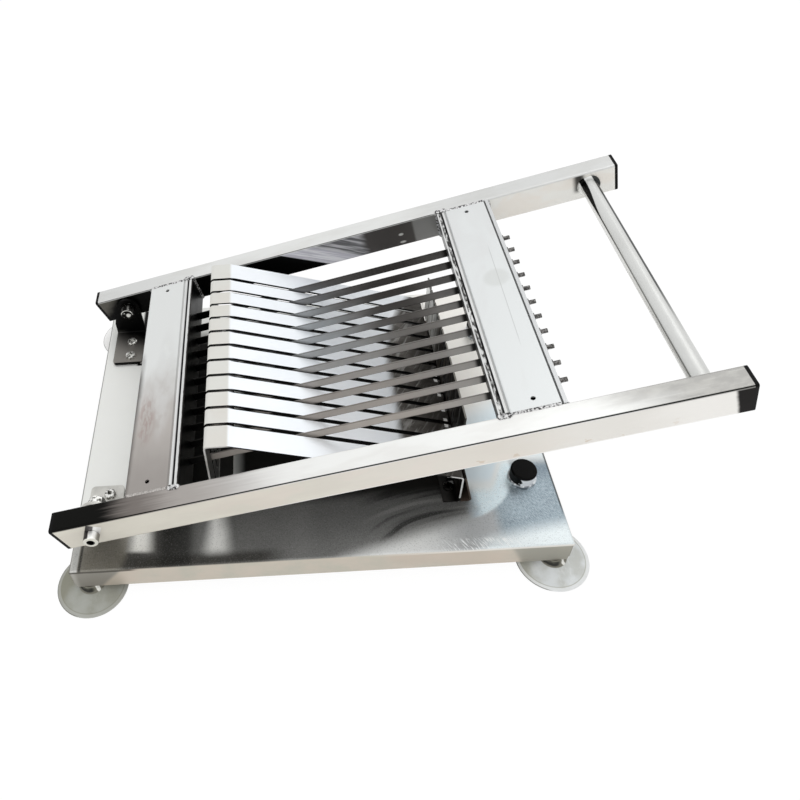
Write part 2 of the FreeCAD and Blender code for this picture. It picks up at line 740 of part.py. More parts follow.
def seam_bead(s0, s1):
    """A low bead over a flush seam on top of the frame at the far arm."""
    radius = (bead_width ** 2 / 4 + bead_rise ** 2) / (2 * bead_rise)
    middle = half_arm + bead_rise - radius
    bead = rod(radius, V(s0, half_gap, middle), V(s1, half_gap, middle))
    return bead.common(box(s0, s1, half_gap - bead_width, half_gap + bead_width, half_arm, half_arm + 2))


def corner_bead(s, way):
    """A fillet bead down the corner between a cross piece's face and the far arm."""
    points = [V(s, half_gap, -half_arm), V(s + way * fillet_leg, half_gap, -half_arm),
              V(s, half_gap - fillet_leg, -half_arm)]
    return Part.Face(Part.makePolygon(points + points[:1])).extrude(V(0, 0, arm_height - tube_corner))


def rail_weld(s0, s1):
    """Overlapping dabs of weld across the ends of a rail and its backing bar, on top of the far arm."""
    dabs = []
    for k in range(dab_count):
        s = s0 + dab_inset + k * (s1 - s0 - 2 * dab_inset) / (dab_count - 1)
        foot = V(s, half_gap + dab_over_arm, half_arm)
        dab = rod(dab_radius, foot, foot + V(0, 0, dab_rise))
        rim = [e for e in dab.Edges if len(e.Vertexes) == 1 and e.CenterOfMass.z > half_arm + dab_rise / 2]
        dabs.append(dab.makeFillet(0.9 * dab_rise, rim))
    return dabs[0].fuse(dabs[1:])


def frame_welds():
    beads = [seam_bead(left_cross_start + tube_corner, left_cross_end - tube_corner),
             seam_bead(right_cross_start + tube_corner, right_cross_end - tube_corner),
             corner_bead(left_cross_start, -1), corner_bead(left_rail_end, 1),
             corner_bead(right_rail_start, -1), corner_bead(tension_bar_end, 1)]
    return beads


def rail_welds():
    return [rail_weld(left_cross_end, left_rail_end), rail_weld(right_rail_start, right_cross_start)]


def mirrored_group(shapes):
    return Part.makeCompound(shapes + [mirrored(shape) for shape in shapes])


def write_base():
    write("base_tray", base_tray())
    for end, (x, y) in zip(("hinge_end", "handle_end"), cup_spots):
        for side, way in (("far", 1), ("near", -1)):
            write("suction_cup_" + end + "_" + side, suction_cup(x, way * y))
    write("cup_studs", mirrored_group([cup_stud(x, y) for x, y in cup_spots]))
    write("cup_weld_nuts", mirrored_group([cup_nut(x, y) for x, y in cup_spots]))

    bracket = hinge_bracket()
    write("hinge_bracket_far", bracket)
    write("hinge_bracket_near", mirrored(bracket))
    nut_low = plate_under - m6["nut"]
    seat = plate_top + bracket_sheet
    write("bracket_screws", mirrored_group(
        [button_screw(m6, x, y, seat, nut_low - thread_tip) for x, y in bracket_spots]))
    write("bracket_nuts", mirrored_group([plain_nut(m6, x, y, nut_low, plate_under) for x, y in bracket_spots]))

    write("pivot_bolt_far", pivot_bolt())
    write("pivot_bolt_near", mirrored(pivot_bolt()))
    write("pivot_washers", mirrored_group(pivot_washers()))
    write("pivot_lock_nuts", mirrored_group([pivot_nut()]))

    write("roll_trough", roll_trough())
    write("stop_comb", stop_comb())
    seat = plate_top + trough_sheet
    nut_low = plate_under - m5["nut"]
    write("trough_screws", mirrored_group(
        [button_screw(m5, x, y, seat, nut_low - thread_tip) for x, y in trough_screw_spots]))
    write("trough_nuts", mirrored_group(
        [plain_nut(m5, x, y, nut_low, plate_under) for x, y in trough_screw_spots]))
    comb_tip = seat + m3["nut"] - comb_screw_short
    write("comb_screws", Part.makeCompound(
        [button_screw(m3, comb_screw_x, y, plate_under, comb_tip, up=False) for y in comb_screw_ys]))
    write("comb_nuts", Part.makeCompound(
        [plain_nut(m3, comb_screw_x, y, seat, seat + m3["nut"], 30.0) for y in comb_screw_ys]))

    write("buffer_base_far", buffer_base())
    write("buffer_base_near", mirrored(buffer_base()))
    write("buffer_pad_far", buffer_pad())
    write("buffer_pad_near", mirrored(buffer_pad()))
    x, y = buffer_spot
    tip = plate_top + buffer_base_height + buffer_core_height - thread_tip - buffer_screw_short
    write("buffer_screws", mirrored_group([button_screw(m5, x, y, plate_under, tip, up=False)]))


def write_frame():
    for side in ("far", "near"):
        write("arm_" + side, raised(arm(side == "far")))
        for end in ("tail", "front"):
            write("arm_cap_" + end + "_" + side, raised(arm_cap(side == "far", end == "tail")))
    write("pivot_bushes", raised(mirrored_group([pivot_bush()])))

    write("cross_tube_left", raised(cross_tube(False)))
    write("cross_tube_right", raised(cross_tube(True)))
    write("backing_bar_left", raised(slotted_bar(left_cross_end, left_bar_end)))
    write("backing_bar_right", raised(slotted_bar(right_bar_start, right_cross_start)))
    write("blade_rail_left", raised(slotted_bar(left_rail_start, left_rail_end)))
    write("blade_rail_right", raised(slotted_bar(right_rail_start, right_rail_end)))
    write("tension_bar", raised(tension_bar()))

    for number, y in enumerate(blade_ys, 1):
        write("blade_%02d" % number, raised(blade(y)))
    write("blade_anchor_pins", raised(Part.makeCompound([cross_pin(left_pin_s, y) for y in blade_ys])))
    write("blade_tension_pins", raised(Part.makeCompound(
        [rod(pin_radius, V(right_pin_s, y - 0.9 * fork_radius, -blade_drop),
             V(right_pin_s, y + 0.9 * fork_radius, -blade_drop)) for y in blade_ys])))
    write("tension_studs", raised(Part.makeCompound([tension_stud(y) for y in blade_ys])))
    write("tension_washers", raised(Part.makeCompound([tension_washer(y) for y in blade_ys])))
    write("tension_nuts", raised(Part.makeCompound([tension_nut(y) for y in blade_ys])))

    write("handle_bar", raised(handle_bar()))
    write("handle_collars", raised(mirrored_group([handle_collar()])))
    write("frame_welds", raised(mirrored_group(frame_welds())))
    write("rail_welds", raised(mirrored_group(rail_welds())))


os.makedirs("parts", exist_ok=True)
write_base()
write_frame()
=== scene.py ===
"""Hand-pressed roll cutter in polished sheet, tube and strip steel, as it stands with its frame raised."""

import json
import math

import bmesh
import bpy
from mathutils import Matrix, Vector


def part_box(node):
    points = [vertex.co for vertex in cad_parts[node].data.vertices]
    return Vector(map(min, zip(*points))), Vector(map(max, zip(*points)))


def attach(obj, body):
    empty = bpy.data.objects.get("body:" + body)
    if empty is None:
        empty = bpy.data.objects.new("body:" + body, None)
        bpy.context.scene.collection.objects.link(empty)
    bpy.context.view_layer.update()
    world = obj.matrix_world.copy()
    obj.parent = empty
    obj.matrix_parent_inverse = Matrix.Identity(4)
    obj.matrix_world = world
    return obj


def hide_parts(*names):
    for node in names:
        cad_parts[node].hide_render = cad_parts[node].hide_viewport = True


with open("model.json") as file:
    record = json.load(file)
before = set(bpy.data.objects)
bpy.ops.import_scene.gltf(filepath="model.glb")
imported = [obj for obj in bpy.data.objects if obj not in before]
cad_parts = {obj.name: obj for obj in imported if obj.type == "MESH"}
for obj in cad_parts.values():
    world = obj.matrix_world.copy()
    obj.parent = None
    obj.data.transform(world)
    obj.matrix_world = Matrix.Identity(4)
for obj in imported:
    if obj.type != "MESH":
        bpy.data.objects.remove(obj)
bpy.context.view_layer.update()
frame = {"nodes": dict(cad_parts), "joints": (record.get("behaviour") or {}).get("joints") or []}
cad_nodes = frame["nodes"]


# Base tray: one sheet of 1.5 mm stainless steel with its four edges folded down, then brushed along its length
# and polished. Its top has painted reflections of the frame in soft dark shapes and is painted bright towards the
# handle.

metre = 1000  # millimetres


class Wire:
    """A value inside one finish, which can be used in sums like a number of millimetres."""

    def __init__(self, finish, socket):
        self.finish, self.socket = finish, socket

    def maths(self, operation, first, second=0.0):
        """One maths node of the finish, with wires or plain numbers on its inputs."""
        return self.finish.node("ShaderNodeMath", {"operation": operation}, {0: first, 1: second})

    def __add__(self, other):
        return self.maths("ADD", self, other)

    def __radd__(self, other):
        return self.maths("ADD", other, self)

    def __sub__(self, other):
        return self.maths("SUBTRACT", self, other)

    def __rsub__(self, other):
        return self.maths("SUBTRACT", other, self)

    def __mul__(self, other):
        return self.maths("MULTIPLY", self, other)

    def __rmul__(self, other):
        return self.maths("MULTIPLY", other, self)

    def __truediv__(self, other):
        return self.maths("DIVIDE", self, other)

    def __abs__(self):
        return self.maths("ABSOLUTE", self)

    def fraction(self):
        """What the value has above the whole number below it."""
        return self.maths("FRACT", self)

    def hypot(self, other):
        """The long side of a right-angled triangle that has this value and the other as its short sides."""
        return self.maths("SQRT", self * self + other * other)

    def rise(self, low, high):
        """0 below low, 1 above high and a soft change between them; it falls where low is above high."""
        return self.finish.node("ShaderNodeMapRange", {"interpolation_type": "SMOOTHSTEP"},
                                {"Value": self, "From Min": low, "From Max": high})

    def within(self, low, high, soft):
        """1 between low and high, 0 outside them, with soft edges."""
        return self.rise(low - soft, low + soft) * self.rise(high + soft, high - soft)


def tone(red, green, blue):
    """A colour as it looks on the real piece, from 0 to 255, in the shader's own scale."""
    return tuple(c / 12.92 if c <= 0.04045 else ((c + 0.055) / 1.055) ** 2.4
                 for c in (red / 255, green / 255, blue / 255)) + (1.0,)


class Finish:
    """One procedural material, built node by node round its Principled shader."""

    def __init__(self, name, **constants):
        self.material = bpy.data.materials.new(name)
        self.material.use_nodes = True
        self.shader = self.material.node_tree.nodes["Principled BSDF"]
        for socket, value in constants.items():
            self.shader.inputs[socket.replace("_", " ")].default_value = value

    def node(self, kind, settings=None, sockets=None, out=0):
        """Any node, with its settings, its sockets' values or wires, and the output that is wanted."""
        made = self.material.node_tree.nodes.new(kind)
        for name, value in (settings or {}).items():
            setattr(made, name, value)
        for name, value in (sockets or {}).items():
            self.join(value, made.inputs[name])
        return Wire(self, made.outputs[out])

    def join(self, value, socket):
        """Links a wire to a socket, or writes a constant on it."""
        if isinstance(value, Wire):
            self.material.node_tree.links.new(value.socket, socket)
        else:
            socket.default_value = value

    def set(self, socket, value):
        """Gives one socket of the Principled shader its wire or constant."""
        self.join(value, self.shader.inputs[socket])

    def place(self, turn=0.0, about=(0.0, 0.0, 0.0)):
        """Millimetres from a point of the part, turned about the part's depth by some degrees."""
        here = self.node("ShaderNodeTexCoord", out="Object")
        spin = Matrix.Rotation(math.radians(turn), 3, "Y")
        shift = -(spin @ Vector(about)) * metre
        return self.node("ShaderNodeMapping", None, {
            "Vector": here, "Location": shift, "Rotation": (0.0, math.radians(turn), 0.0), "Scale": (metre,) * 3})

    def parts_of(self, vector):
        """The three numbers of a vector, each as a wire."""
        axes = self.node("ShaderNodeSeparateXYZ", None, {"Vector": vector})
        outputs = axes.socket.node.outputs
        return [Wire(self, outputs[k]) for k in range(3)]

    def noise(self, vector, stretch, detail=3.0, roughness=0.5, distortion=0.0):
        """Cloudy noise from 0 to 1; stretch is the size of a cloud along each axis in millimetres."""
        small = self.node("ShaderNodeMapping", None, {"Vector": vector, "Scale": [1 / size for size in stretch]})
        return self.node("ShaderNodeTexNoise", None, {
            "Vector": small, "Scale": 1.0, "Detail": detail, "Roughness": roughness, "Distortion": distortion})

    def mix(self, amount, first, second):
        """A colour that goes from first to second as amount goes from 0 to 1."""
        # The node has inputs and outputs of one name for each kind of data: these numbers are its colours.
        return self.node("ShaderNodeMix", {"data_type": "RGBA", "clamp_factor": True},
                         {"Factor": amount, 6: first, 7: second}, out=2)

    def spot(self, first, second, centre, radii, soft=0.4):
        """1 inside an ellipse on two axes and 0 outside it, with a soft rim."""
        across, along = (first - centre[0]) / radii[0], (second - centre[1]) / radii[1]
        return (across * across + along * along).rise(1 + soft, 1 - soft)

    def turned(self, first, second, degrees):
        """Two axes turned about the third, as a vector for a noise that runs slanting over a face."""
        c, s = math.cos(math.radians(degrees)), math.sin(math.radians(degrees))
        return self.node("ShaderNodeCombineXYZ", None, {0: first * c + second * s, 1: second * c - first * s})

    def facing(self):
        """The three parts of the direction that the surface faces."""
        return self.parts_of(self.node("ShaderNodeTexCoord", out="Normal"))

    def bump(self, height, strength, distance):
        """Fine relief from a height between 0 and 1; distance is its depth in metres."""
        self.set("Normal", self.node("ShaderNodeBump", None, {
            "Height": height, "Strength": strength, "Distance": distance}))

    def on(self, *names):
        """Puts this finish on CAD nodes by name."""
        for name in names:
            slots = cad_nodes[name].data.materials
            slots.clear()
            slots.append(self.material)


tray = Finish("tray steel, brushed and polished", Metallic=0.5, Specular_IOR_Level=0.1)
here = tray.place()
x, y, z = tray.parts_of(here)
clouds = tray.noise(here, (90, 60, 60), 2.0)
haze = tray.noise(here, (26, 26, 26), 4.0, 0.6)
speck = tray.noise(here, (1.1, 1.1, 1.1), 2.0, 0.8)
wander = (clouds - 0.5) * 24
top = z.rise(34.2, 35.2)
# The front part has a painted reflection of the near arm.
# Its border runs along the plate and bends inwards at the handle end.
inward = y - x.rise(116, 136) * 28
front = inward.rise(-96, -112)
# Far from the user the plate is plain and pale, with painted shade and painted dark reflections below the blades'
# hinge ends, below the trough and beside the far bracket.
sheen = tray.mix(haze * 0.3, tone(236, 237, 234), tone(222, 222, 218))
rail_shade = x.within(-194, -122, 5) * (y + wander * 0.4).rise(128, 100)
sheen = tray.mix(rail_shade, sheen, tone(26, 26, 25))
trough_shade = x.within(-110, 88, 6) * (y + 10).rise(170, 130)
sheen = tray.mix(trough_shade, sheen, tone(40, 39, 37))
far_bracket_shade = x.within(-221, -190, 1.5) * y.rise(100, 112)
sheen = tray.mix(far_bracket_shade, sheen, tone(14, 14, 13))
# The front carries painted reflections of the arm and the dark underside:
# a dull corner, two bright gaps, a dark line before the fold.
corner = tray.mix(clouds.rise(0.35, 0.65), tone(140, 136, 126), tone(122, 119, 110))
corner = tray.mix(x.within(-256.4, -250.2, 0.8), corner, tone(206, 206, 202))
corner_lines = x.within(-249.4, -247.2, 0.7) + (y + haze).rise(-163.5, -165) + x.rise(-256.0, -257.2)
corner = tray.mix(corner_lines, corner, tone(62, 60, 54))
dark = tray.mix((x + wander * 0.5).rise(-214, -206), corner, tone(84, 83, 80))
dark = tray.mix((x + wander * 0.4).rise(-178, -150), dark, tone(132, 132, 130))
dark = tray.mix((haze - 0.3) * 0.6, dark, tone(152, 151, 148))
before_fold = (y + wander * 0.1).rise(-149, -157) * x.within(-206, -80, 14)
dark = tray.mix(before_fold * 0.8, dark, tone(66, 64, 60))
# A gap is a wedge of painted bright reflection: the distance from its middle line is compared with its half width,
# which grows outwards.
stir = haze * 4
gap = abs(x + 195 + stir) / ((-126 - y) * 0.06 + 9.0)
first_gap = gap.rise(1.6, 0.25) * (y + stir).within(-146, -124, 2.5)
dark = tray.mix(first_gap, dark, tone(254, 253, 247))
gap = abs(x + 127 + stir) / ((-124 - y) * 0.09 + 7.6)
second_gap = gap.rise(1.8, 0.2) * (y + stir).within(-150, -112, 6)
between_gaps = (x + wander * 0.2).within(-180, -152, 6)
dark = tray.mix(between_gaps * 0.7, dark, tone(50, 50, 48))
dark = tray.mix(second_gap, dark, tone(252, 252, 248))
# Nearer the handle the plate has a painted reflection of the ramp as a dark leaf with curved folds, above a pale
# wedge.
slope = y + 165 - (x + 33) * 0.30 + wander * 0.25
arc = ((x - 96) * 0.5).hypot(y + 168) + wander * 0.3
folds = tray.noise(tray.node("ShaderNodeCombineXYZ", None, {0: arc, 1: x * 0.05}), (7, 9, 9), 2.0, 0.5)
leaf = x.within(-46, 96, 12) * slope.rise(-8, 8)
leaf_tone = tray.mix(x.rise(-20, 60), tone(122, 122, 120), tone(118, 118, 116))
dark = tray.mix(leaf, dark, leaf_tone)
dark = tray.mix(leaf * folds.rise(0.52, 0.36) * x.rise(-10, 30) * 0.8, dark, tone(46, 46, 45))
dark = tray.mix(leaf * folds.rise(0.52, 0.68) * x.rise(-10, 30) * 0.6, dark, tone(160, 160, 157))
wedge = slope.rise(6, -12) * x.rise(-70, -10)
pale = tray.mix(x.rise(40, 95), tone(222, 223, 221), tone(180, 182, 183))
dark = tray.mix(wedge, dark, pale)
# The handle end is brushed in slanting strokes and painted with a bluish reflection, with one bright curved patch
# that is a painted reflection of the room, and a painted glare at the front.
scratch = tray.noise(tray.turned(x, y, 30), (0.7, 3.2, 4), 3.0, 0.7)
blue_reflection = tray.mix((haze - 0.2) * 1.2, tone(138, 151, 160), tone(184, 200, 209))
blue_reflection = tray.mix(scratch.rise(0.5, 0.66) * 0.55, blue_reflection, tone(206, 220, 228))
blue_reflection = tray.mix(scratch.rise(0.46, 0.36) * 0.5, blue_reflection, tone(84, 96, 106))
blue_reflection = tray.mix(x.within(90, 116, 6) * y.rise(-104, -118) * 0.8, blue_reflection, tone(190, 190, 190))
blue_reflection = tray.mix(y.rise(-104, -84) * x.rise(128, 138) * 0.6, blue_reflection, tone(120, 134, 146))
glare = (y + scratch * 10 - (x - 100) * 0.16).rise(-140, -158)
blue_reflection = tray.mix(glare, blue_reflection, tone(232, 240, 242))
mirror_ring = tray.spot(x, y, (84, -80), (56, 54), 0.08)
blue_reflection = tray.mix(mirror_ring, blue_reflection, tone(226, 242, 248))
blue_reflection = tray.mix(mirror_ring * (x + scratch * 8).rise(112, 98) * 0.6, blue_reflection, tone(150, 176, 196))
blue_reflection = tray.mix(mirror_ring * scratch.rise(0.5, 0.64) * 0.5, blue_reflection, tone(252, 255, 255))
dark = tray.mix((x + (haze - 0.5) * 16).rise(88, 108), dark, blue_reflection)
dark = tray.mix(speck.rise(0.52, 0.8) * 0.30, dark, tone(190, 190, 188))
dark = tray.mix(speck.rise(0.48, 0.3) * 0.30, dark, tone(20, 20, 20))
sheen = tray.mix(front, sheen, dark)
# Farther in the handle end is painted pale, as a reflection. A few strokes carry painted highlights at the front,
# and dark lines run along both end rims.
handle_end = tray.mix((y - (x - 120) * 0.5).rise(4, -34), tone(242, 240, 235), tone(222, 234, 240))
farther_in = (inward + (haze - 0.5) * 12).rise(-106, -88)
sheen = tray.mix(x.rise(88, 92) * farther_in, sheen, handle_end)
strokes = tray.noise(tray.turned(x, y, 32), (1.1, 10, 8), 1.0)
stroke_patch = x.within(66, 128, 14) * (y + strokes * 8).within(-158, -148, 2)
sheen = tray.mix(stroke_patch * strokes.rise(0.5, 0.64) * 0.85, sheen, tone(250, 252, 252))
left_rim = x.rise(-255.4, -256.6) * y.rise(-98, -96) * 0.8
right_rim = (x + scratch * 2).rise(173.6, 174.6) * y.rise(-138, -122) * 0.9
sheen = tray.mix(left_rim + right_rim, sheen, tone(70, 74, 76))
# A painted shadow lies on the plate just before the far bracket's foot.
bracket_foot_shadow = x.within(-222, -194, 1.5) * y.within(76.2, 79.2, 0.5)
sheen = tray.mix(bracket_foot_shadow, sheen, tone(12, 12, 11))
# Folded flanges carry a painted reflection of the table, warm and a little pink in places, with slanting painted
# shades at both ends, a painted highlight along the fold and a dark painted shade along the near fold's left end.
side = tray.mix(haze.rise(0.35, 0.7), tone(206, 197, 184), tone(196, 193, 180))
side = tray.mix(clouds.rise(0.5, 0.7) * 0.6, side, tone(204, 190, 176))
side = tray.mix((x - z * 0.8 + clouds * 6).rise(-234, -240) * 0.75, side, tone(138, 137, 132))
side = tray.mix(x.rise(-250, -255) * 0.6, side, tone(206, 204, 198))
side = tray.mix((x + z * 0.5 + clouds * 6).rise(140, 146) * 0.7, side, tone(158, 157, 148))
side = tray.mix(z.rise(32.6, 33.8) * x.rise(-20, 100) * 0.85, side, tone(238, 236, 230))
side = tray.mix((z + haze).rise(33.2, 34.0) * y.rise(-150, -155) * x.rise(-196, -206) * 0.8, side, tone(64, 62, 56))
tray.set("Base Color", tray.mix(top, side, sheen))
tray.set("Roughness", 0.36 + haze * 0.10)
brush = tray.noise(here, (0.35, 30, 6), 2.0, 0.6)
tray.bump(brush, 0.10, 0.0002)
tray.on("base_tray")


# Suction cups: soft translucent plastic, each turned round a stud that screws into a nut under the tray.
# They are moulded as a thin dish with a rounded rim, a raised ring inside it and a short neck.

def cup_finish(name, centre, body, shade, rim_tone):
    """Milky plastic with rings round its own middle; shade is its tone in the painted shade towards the tray."""
    made = Finish(name, IOR=1.45, Specular_IOR_Level=0.35)
    here = made.place(about=centre)
    x, y, _ = made.parts_of(here)
    radius = x.hypot(y)
    milk = made.noise(here, (14, 14, 14), 3.0)
    smear = made.noise(here, (4, 11, 8), 3.0, 0.6)
    paint = made.mix(milk.rise(0.35, 0.7) * 0.5, body, shade)
    paint = made.mix(smear.rise(0.52, 0.7) * 0.35, paint, rim_tone)
    # Painted shade on the side towards the tray.
    shade_side = (y * 0.45 - x * 0.8 + (milk - 0.5) * 16).rise(2, 16)
    paint = made.mix(shade_side * 0.85, paint, shade)
    # The rim is painted lighter, as a highlight on its rounded edge, with a darker line inside it and a painted shade
    # on its left.
    paint = made.mix(radius.within(28.9, 33, 0.4) * 0.7, paint, rim_tone)
    paint = made.mix(radius.within(28.1, 28.8, 0.3) * 0.7, paint, shade)
    paint = made.mix(radius.rise(31.0, 31.6) * (x + 8).rise(2, -6) * 0.7, paint, tone(84, 84, 76))
    # Through the plastic the neck shows as a dark ring, with one bright painted glint on the side of the light.
    hub = made.mix(made.spot(x, y, (-0.5, -5.0), (4.2, 3.0), 0.6), tone(128, 126, 114), tone(16, 16, 14))
    hub = made.mix((radius + milk * 2).within(10.2, 11.8, 0.5) * x.rise(5, 1), hub, tone(40, 40, 36))
    hub = made.mix(made.spot(x + y * 0.5, y, (2.8, -7.0), (2.0, 3.0), 0.5), hub, tone(250, 250, 244))
    paint = made.mix(radius.rise(12.6, 11.6), paint, hub)
    made.set("Base Color", paint)
    made.set("Roughness", 0.3 + 0.2 * milk)
    made.bump(made.noise(here, (1.4, 1.4, 1.4), 2.0), 0.12, 0.0003)
    return made


def spun(name, profile, centre, steps=96):
    """A turned piece: (radius, height) points in millimetres, from pole to pole, spun about an upright axis."""
    x, y, z = centre
    angles = [math.tau * step / steps for step in range(steps)]
    first_pole, *rows, last_pole = [(r / metre, z + h / metre) for r, h in profile]
    points = [(x + r * math.cos(angle), y + r * math.sin(angle), height) for r, height in rows for angle in angles]
    points += [(x, y, first_pole[1]), (x, y, last_pole[1])]
    last_row = (len(rows) - 1) * steps
    faces = []
    for step in range(steps):
        beside = (step + 1) % steps
        faces.append((len(points) - 2, beside, step))
        for row in range(0, last_row, steps):
            faces.append((row + step, row + beside, row + steps + beside, row + steps + step))
        faces.append((last_row + step, last_row + beside, len(points) - 1))
    data = bpy.data.meshes.new(name)
    data.from_pydata(points, [], faces)
    data.shade_smooth()
    piece = bpy.data.objects.new(name, data)
    bpy.context.scene.collection.objects.link(piece)
    return piece


# From the middle of the dish out to its rim below, then back above, up the neck and down into its bore.
cup_outline = [(0.0, 1.4), (9.6, 1.4), (14.0, 1.6), (20.0, 1.5), (24.0, 0.9), (26.5, 0.4), (28.2, 0.06), (29.6, 0.0),
               (31.0, 0.02), (31.7, 0.3), (31.95, 0.75), (31.7, 1.15), (31.0, 1.3), (29.8, 1.35), (28.6, 1.7),
               (27.2, 1.85), (24.0, 2.4), (20.2, 3.1), (16.0, 4.2), (13.6, 4.8), (12.1, 5.0), (11.2, 5.2), (10.4, 5.7),
               (9.8, 6.6), (9.6, 8.0), (9.5, 10.0), (9.1, 10.6), (8.0, 10.7), (3.1, 10.7), (3.05, 3.25), (0.0, 3.2)]
# Painted tones of the body, the shade and the rim, which differ from cup to cup by how light falls:
# the near cup at the hinge is painted in shadow, the far one nearly white.
cup_lit_tones = {
    "hinge_end_near": (tone(176, 178, 171), tone(144, 143, 128), tone(182, 183, 177)),
    "handle_end_near": (tone(228, 232, 233), tone(176, 176, 164), tone(244, 246, 246)),
    "hinge_end_far": (tone(252, 252, 252), tone(249, 249, 248), tone(253, 253, 253)),
    "handle_end_far": (tone(206, 208, 208), tone(172, 172, 164), tone(228, 229, 228))}
for spot_name, tones in cup_lit_tones.items():
    node = "suction_cup_" + spot_name
    low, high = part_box(node)
    middle = (low + high) / 2
    centre = (middle.x, middle.y, 0.0)
    cup = spun("cup_" + spot_name, cup_outline, centre)
    cup.data.materials.append(cup_finish("cup plastic " + spot_name, centre, *tones).material)
    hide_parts(node)
    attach(cup, "base")


# Screws, nuts, washers, studs and pins: plain stainless steel, turned or pressed, with a bright grey finish.
# Fine turning marks run round them, dark dirt lies in random patches, and painted shade fills the pivot head's socket.

fastener = Finish("fastener steel, bright turned", Metallic=0.8, Specular_IOR_Level=0.1)
here = fastener.place()
x, y, z = fastener.parts_of(here)
grime_and_shade = fastener.noise(here, (2.4, 2.4, 2.4), 3.0)
marks = fastener.noise(here, (6, 6, 0.35), 2.0)
paint = fastener.mix(grime_and_shade.rise(0.42, 0.62), tone(232, 232, 228), tone(84, 82, 78))
# Low screws in the handle's half stand in the shade of the ramp, painted black in patches as shade.
shaded = z.rise(50, 46) * x.rise(0, 20)
paint = fastener.mix(shaded * grime_and_shade.rise(0.66, 0.6), paint, tone(22, 21, 20))
# The near pivot head is painted with light and shade: a dark reflection on its left, a painted highlight in the
# middle, grey on its right and pale on its end face, with a painted dark line behind the head and painted shade in the
# socket.
head = y.rise(-151, -151.4)
head_light_and_shade = fastener.mix((x + 231.6).rise(-0.6, 0.6), tone(60, 57, 60), tone(250, 250, 249))
head_light_and_shade = fastener.mix((x + 235.6).rise(0.5, -0.5), head_light_and_shade, tone(8, 7, 6))
head_light_and_shade = fastener.mix((x + 225.2).rise(-1.0, 1.0), head_light_and_shade, tone(150, 148, 144))
head_light_and_shade = fastener.mix(y.rise(-158.1, -158.3), head_light_and_shade, tone(224, 222, 212))
head_light_and_shade = fastener.mix(fastener.spot(x, z, (-230.1, 73.3), (3.5, 3.5), 0.12), head_light_and_shade, tone(6, 5, 4))
# The far pivot nut is painted nearly black, in shade, with a few painted highlights in arcs round its middle.
far_nut = y.within(100, 170, 5) * z.within(55, 95, 2)
across, along = x + 230.07, z - 73.3
upper_arc = across.hypot(along).within(5.6, 6.4, 0.3) * (along + grime_and_shade * 8).rise(3, 6)
glint = fastener.spot(across, along, (1.5, -0.5), (2.2, 2.6), 0.7)
nut_light_and_shade = fastener.mix(upper_arc + glint + grime_and_shade.rise(0.62, 0.7) * 0.6, tone(20, 19, 18), tone(244, 244, 240))
paint = fastener.mix(far_nut, paint, nut_light_and_shade)
fastener.set("Base Color", fastener.mix(head, paint, head_light_and_shade))
fastener.set("Roughness", 0.26 + 0.25 * grime_and_shade)
fastener.bump(marks, 0.25, 0.0002)
fastener.on("cup_studs", "cup_weld_nuts", "bracket_screws", "bracket_nuts", "pivot_bolt_far", "pivot_bolt_near",
            "pivot_washers", "pivot_lock_nuts", "trough_screws", "trough_nuts", "comb_screws", "comb_nuts",
            "buffer_screws", "pivot_bushes", "blade_anchor_pins", "blade_tension_pins")

thread = Finish("tension screw steel, dull", Metallic=0.6)
here = thread.place()
dull = thread.noise(here, (2.0, 2.0, 2.0), 3.0)
thread.set("Base Color", thread.mix(dull.rise(0.4, 0.65), tone(70, 68, 66), tone(150, 148, 146)))
thread.set("Roughness", 0.35 + 0.2 * dull)
turns = thread.noise(here, (0.5, 6, 0.5), 1.0)
thread.bump(turns, 0.3, 0.0003)
thread.on("tension_studs", "tension_washers", "tension_nuts")


# Hinge brackets: 3 mm stainless plate, cut out, drilled and bent once, with a ground face.
# Each stands on the tray beside its arm and is held down by two screws.

bracket = Finish("bracket steel, ground plate", Metallic=0.6, Specular_IOR_Level=0.1)
here = bracket.place()
x, y, z = bracket.parts_of(here)
smudge = bracket.noise(here, (12, 12, 12), 3.0)
ground = bracket.noise(here, (0.4, 14, 3), 2.0)
plate = bracket.mix(smudge.rise(0.35, 0.7) * 0.5, tone(206, 205, 200), tone(168, 167, 162))
# The far one carries a painted dark reflection of the frame: its foot darkens slantwise, its front edge is painted
# black in shade, and its ear is painted black.
foot = bracket.mix((y + (x + 208) * 0.5 + (smudge - 0.5) * 8).rise(78, 116), tone(140, 137, 132), tone(6, 6, 6))
foot = bracket.mix(y.rise(80.0, 79.4), foot, tone(5, 5, 5))
far_plate_reflection = bracket.mix(z.rise(41, 44), foot, tone(10, 10, 10))
bracket.set("Base Color", bracket.mix(y.rise(0, 1), plate, far_plate_reflection))
bracket.set("Roughness", 0.34 + 0.14 * smudge)
bracket.bump(ground, 0.15, 0.0002)
bracket.on("hinge_bracket_far", "hinge_bracket_near")


# Roll trough and stop comb: 1.5 mm mirror-polished sheet, slotted for the blades and then folded.
# The ramp is painted dark towards its low edge, as a painted reflection of the comb and the blades.

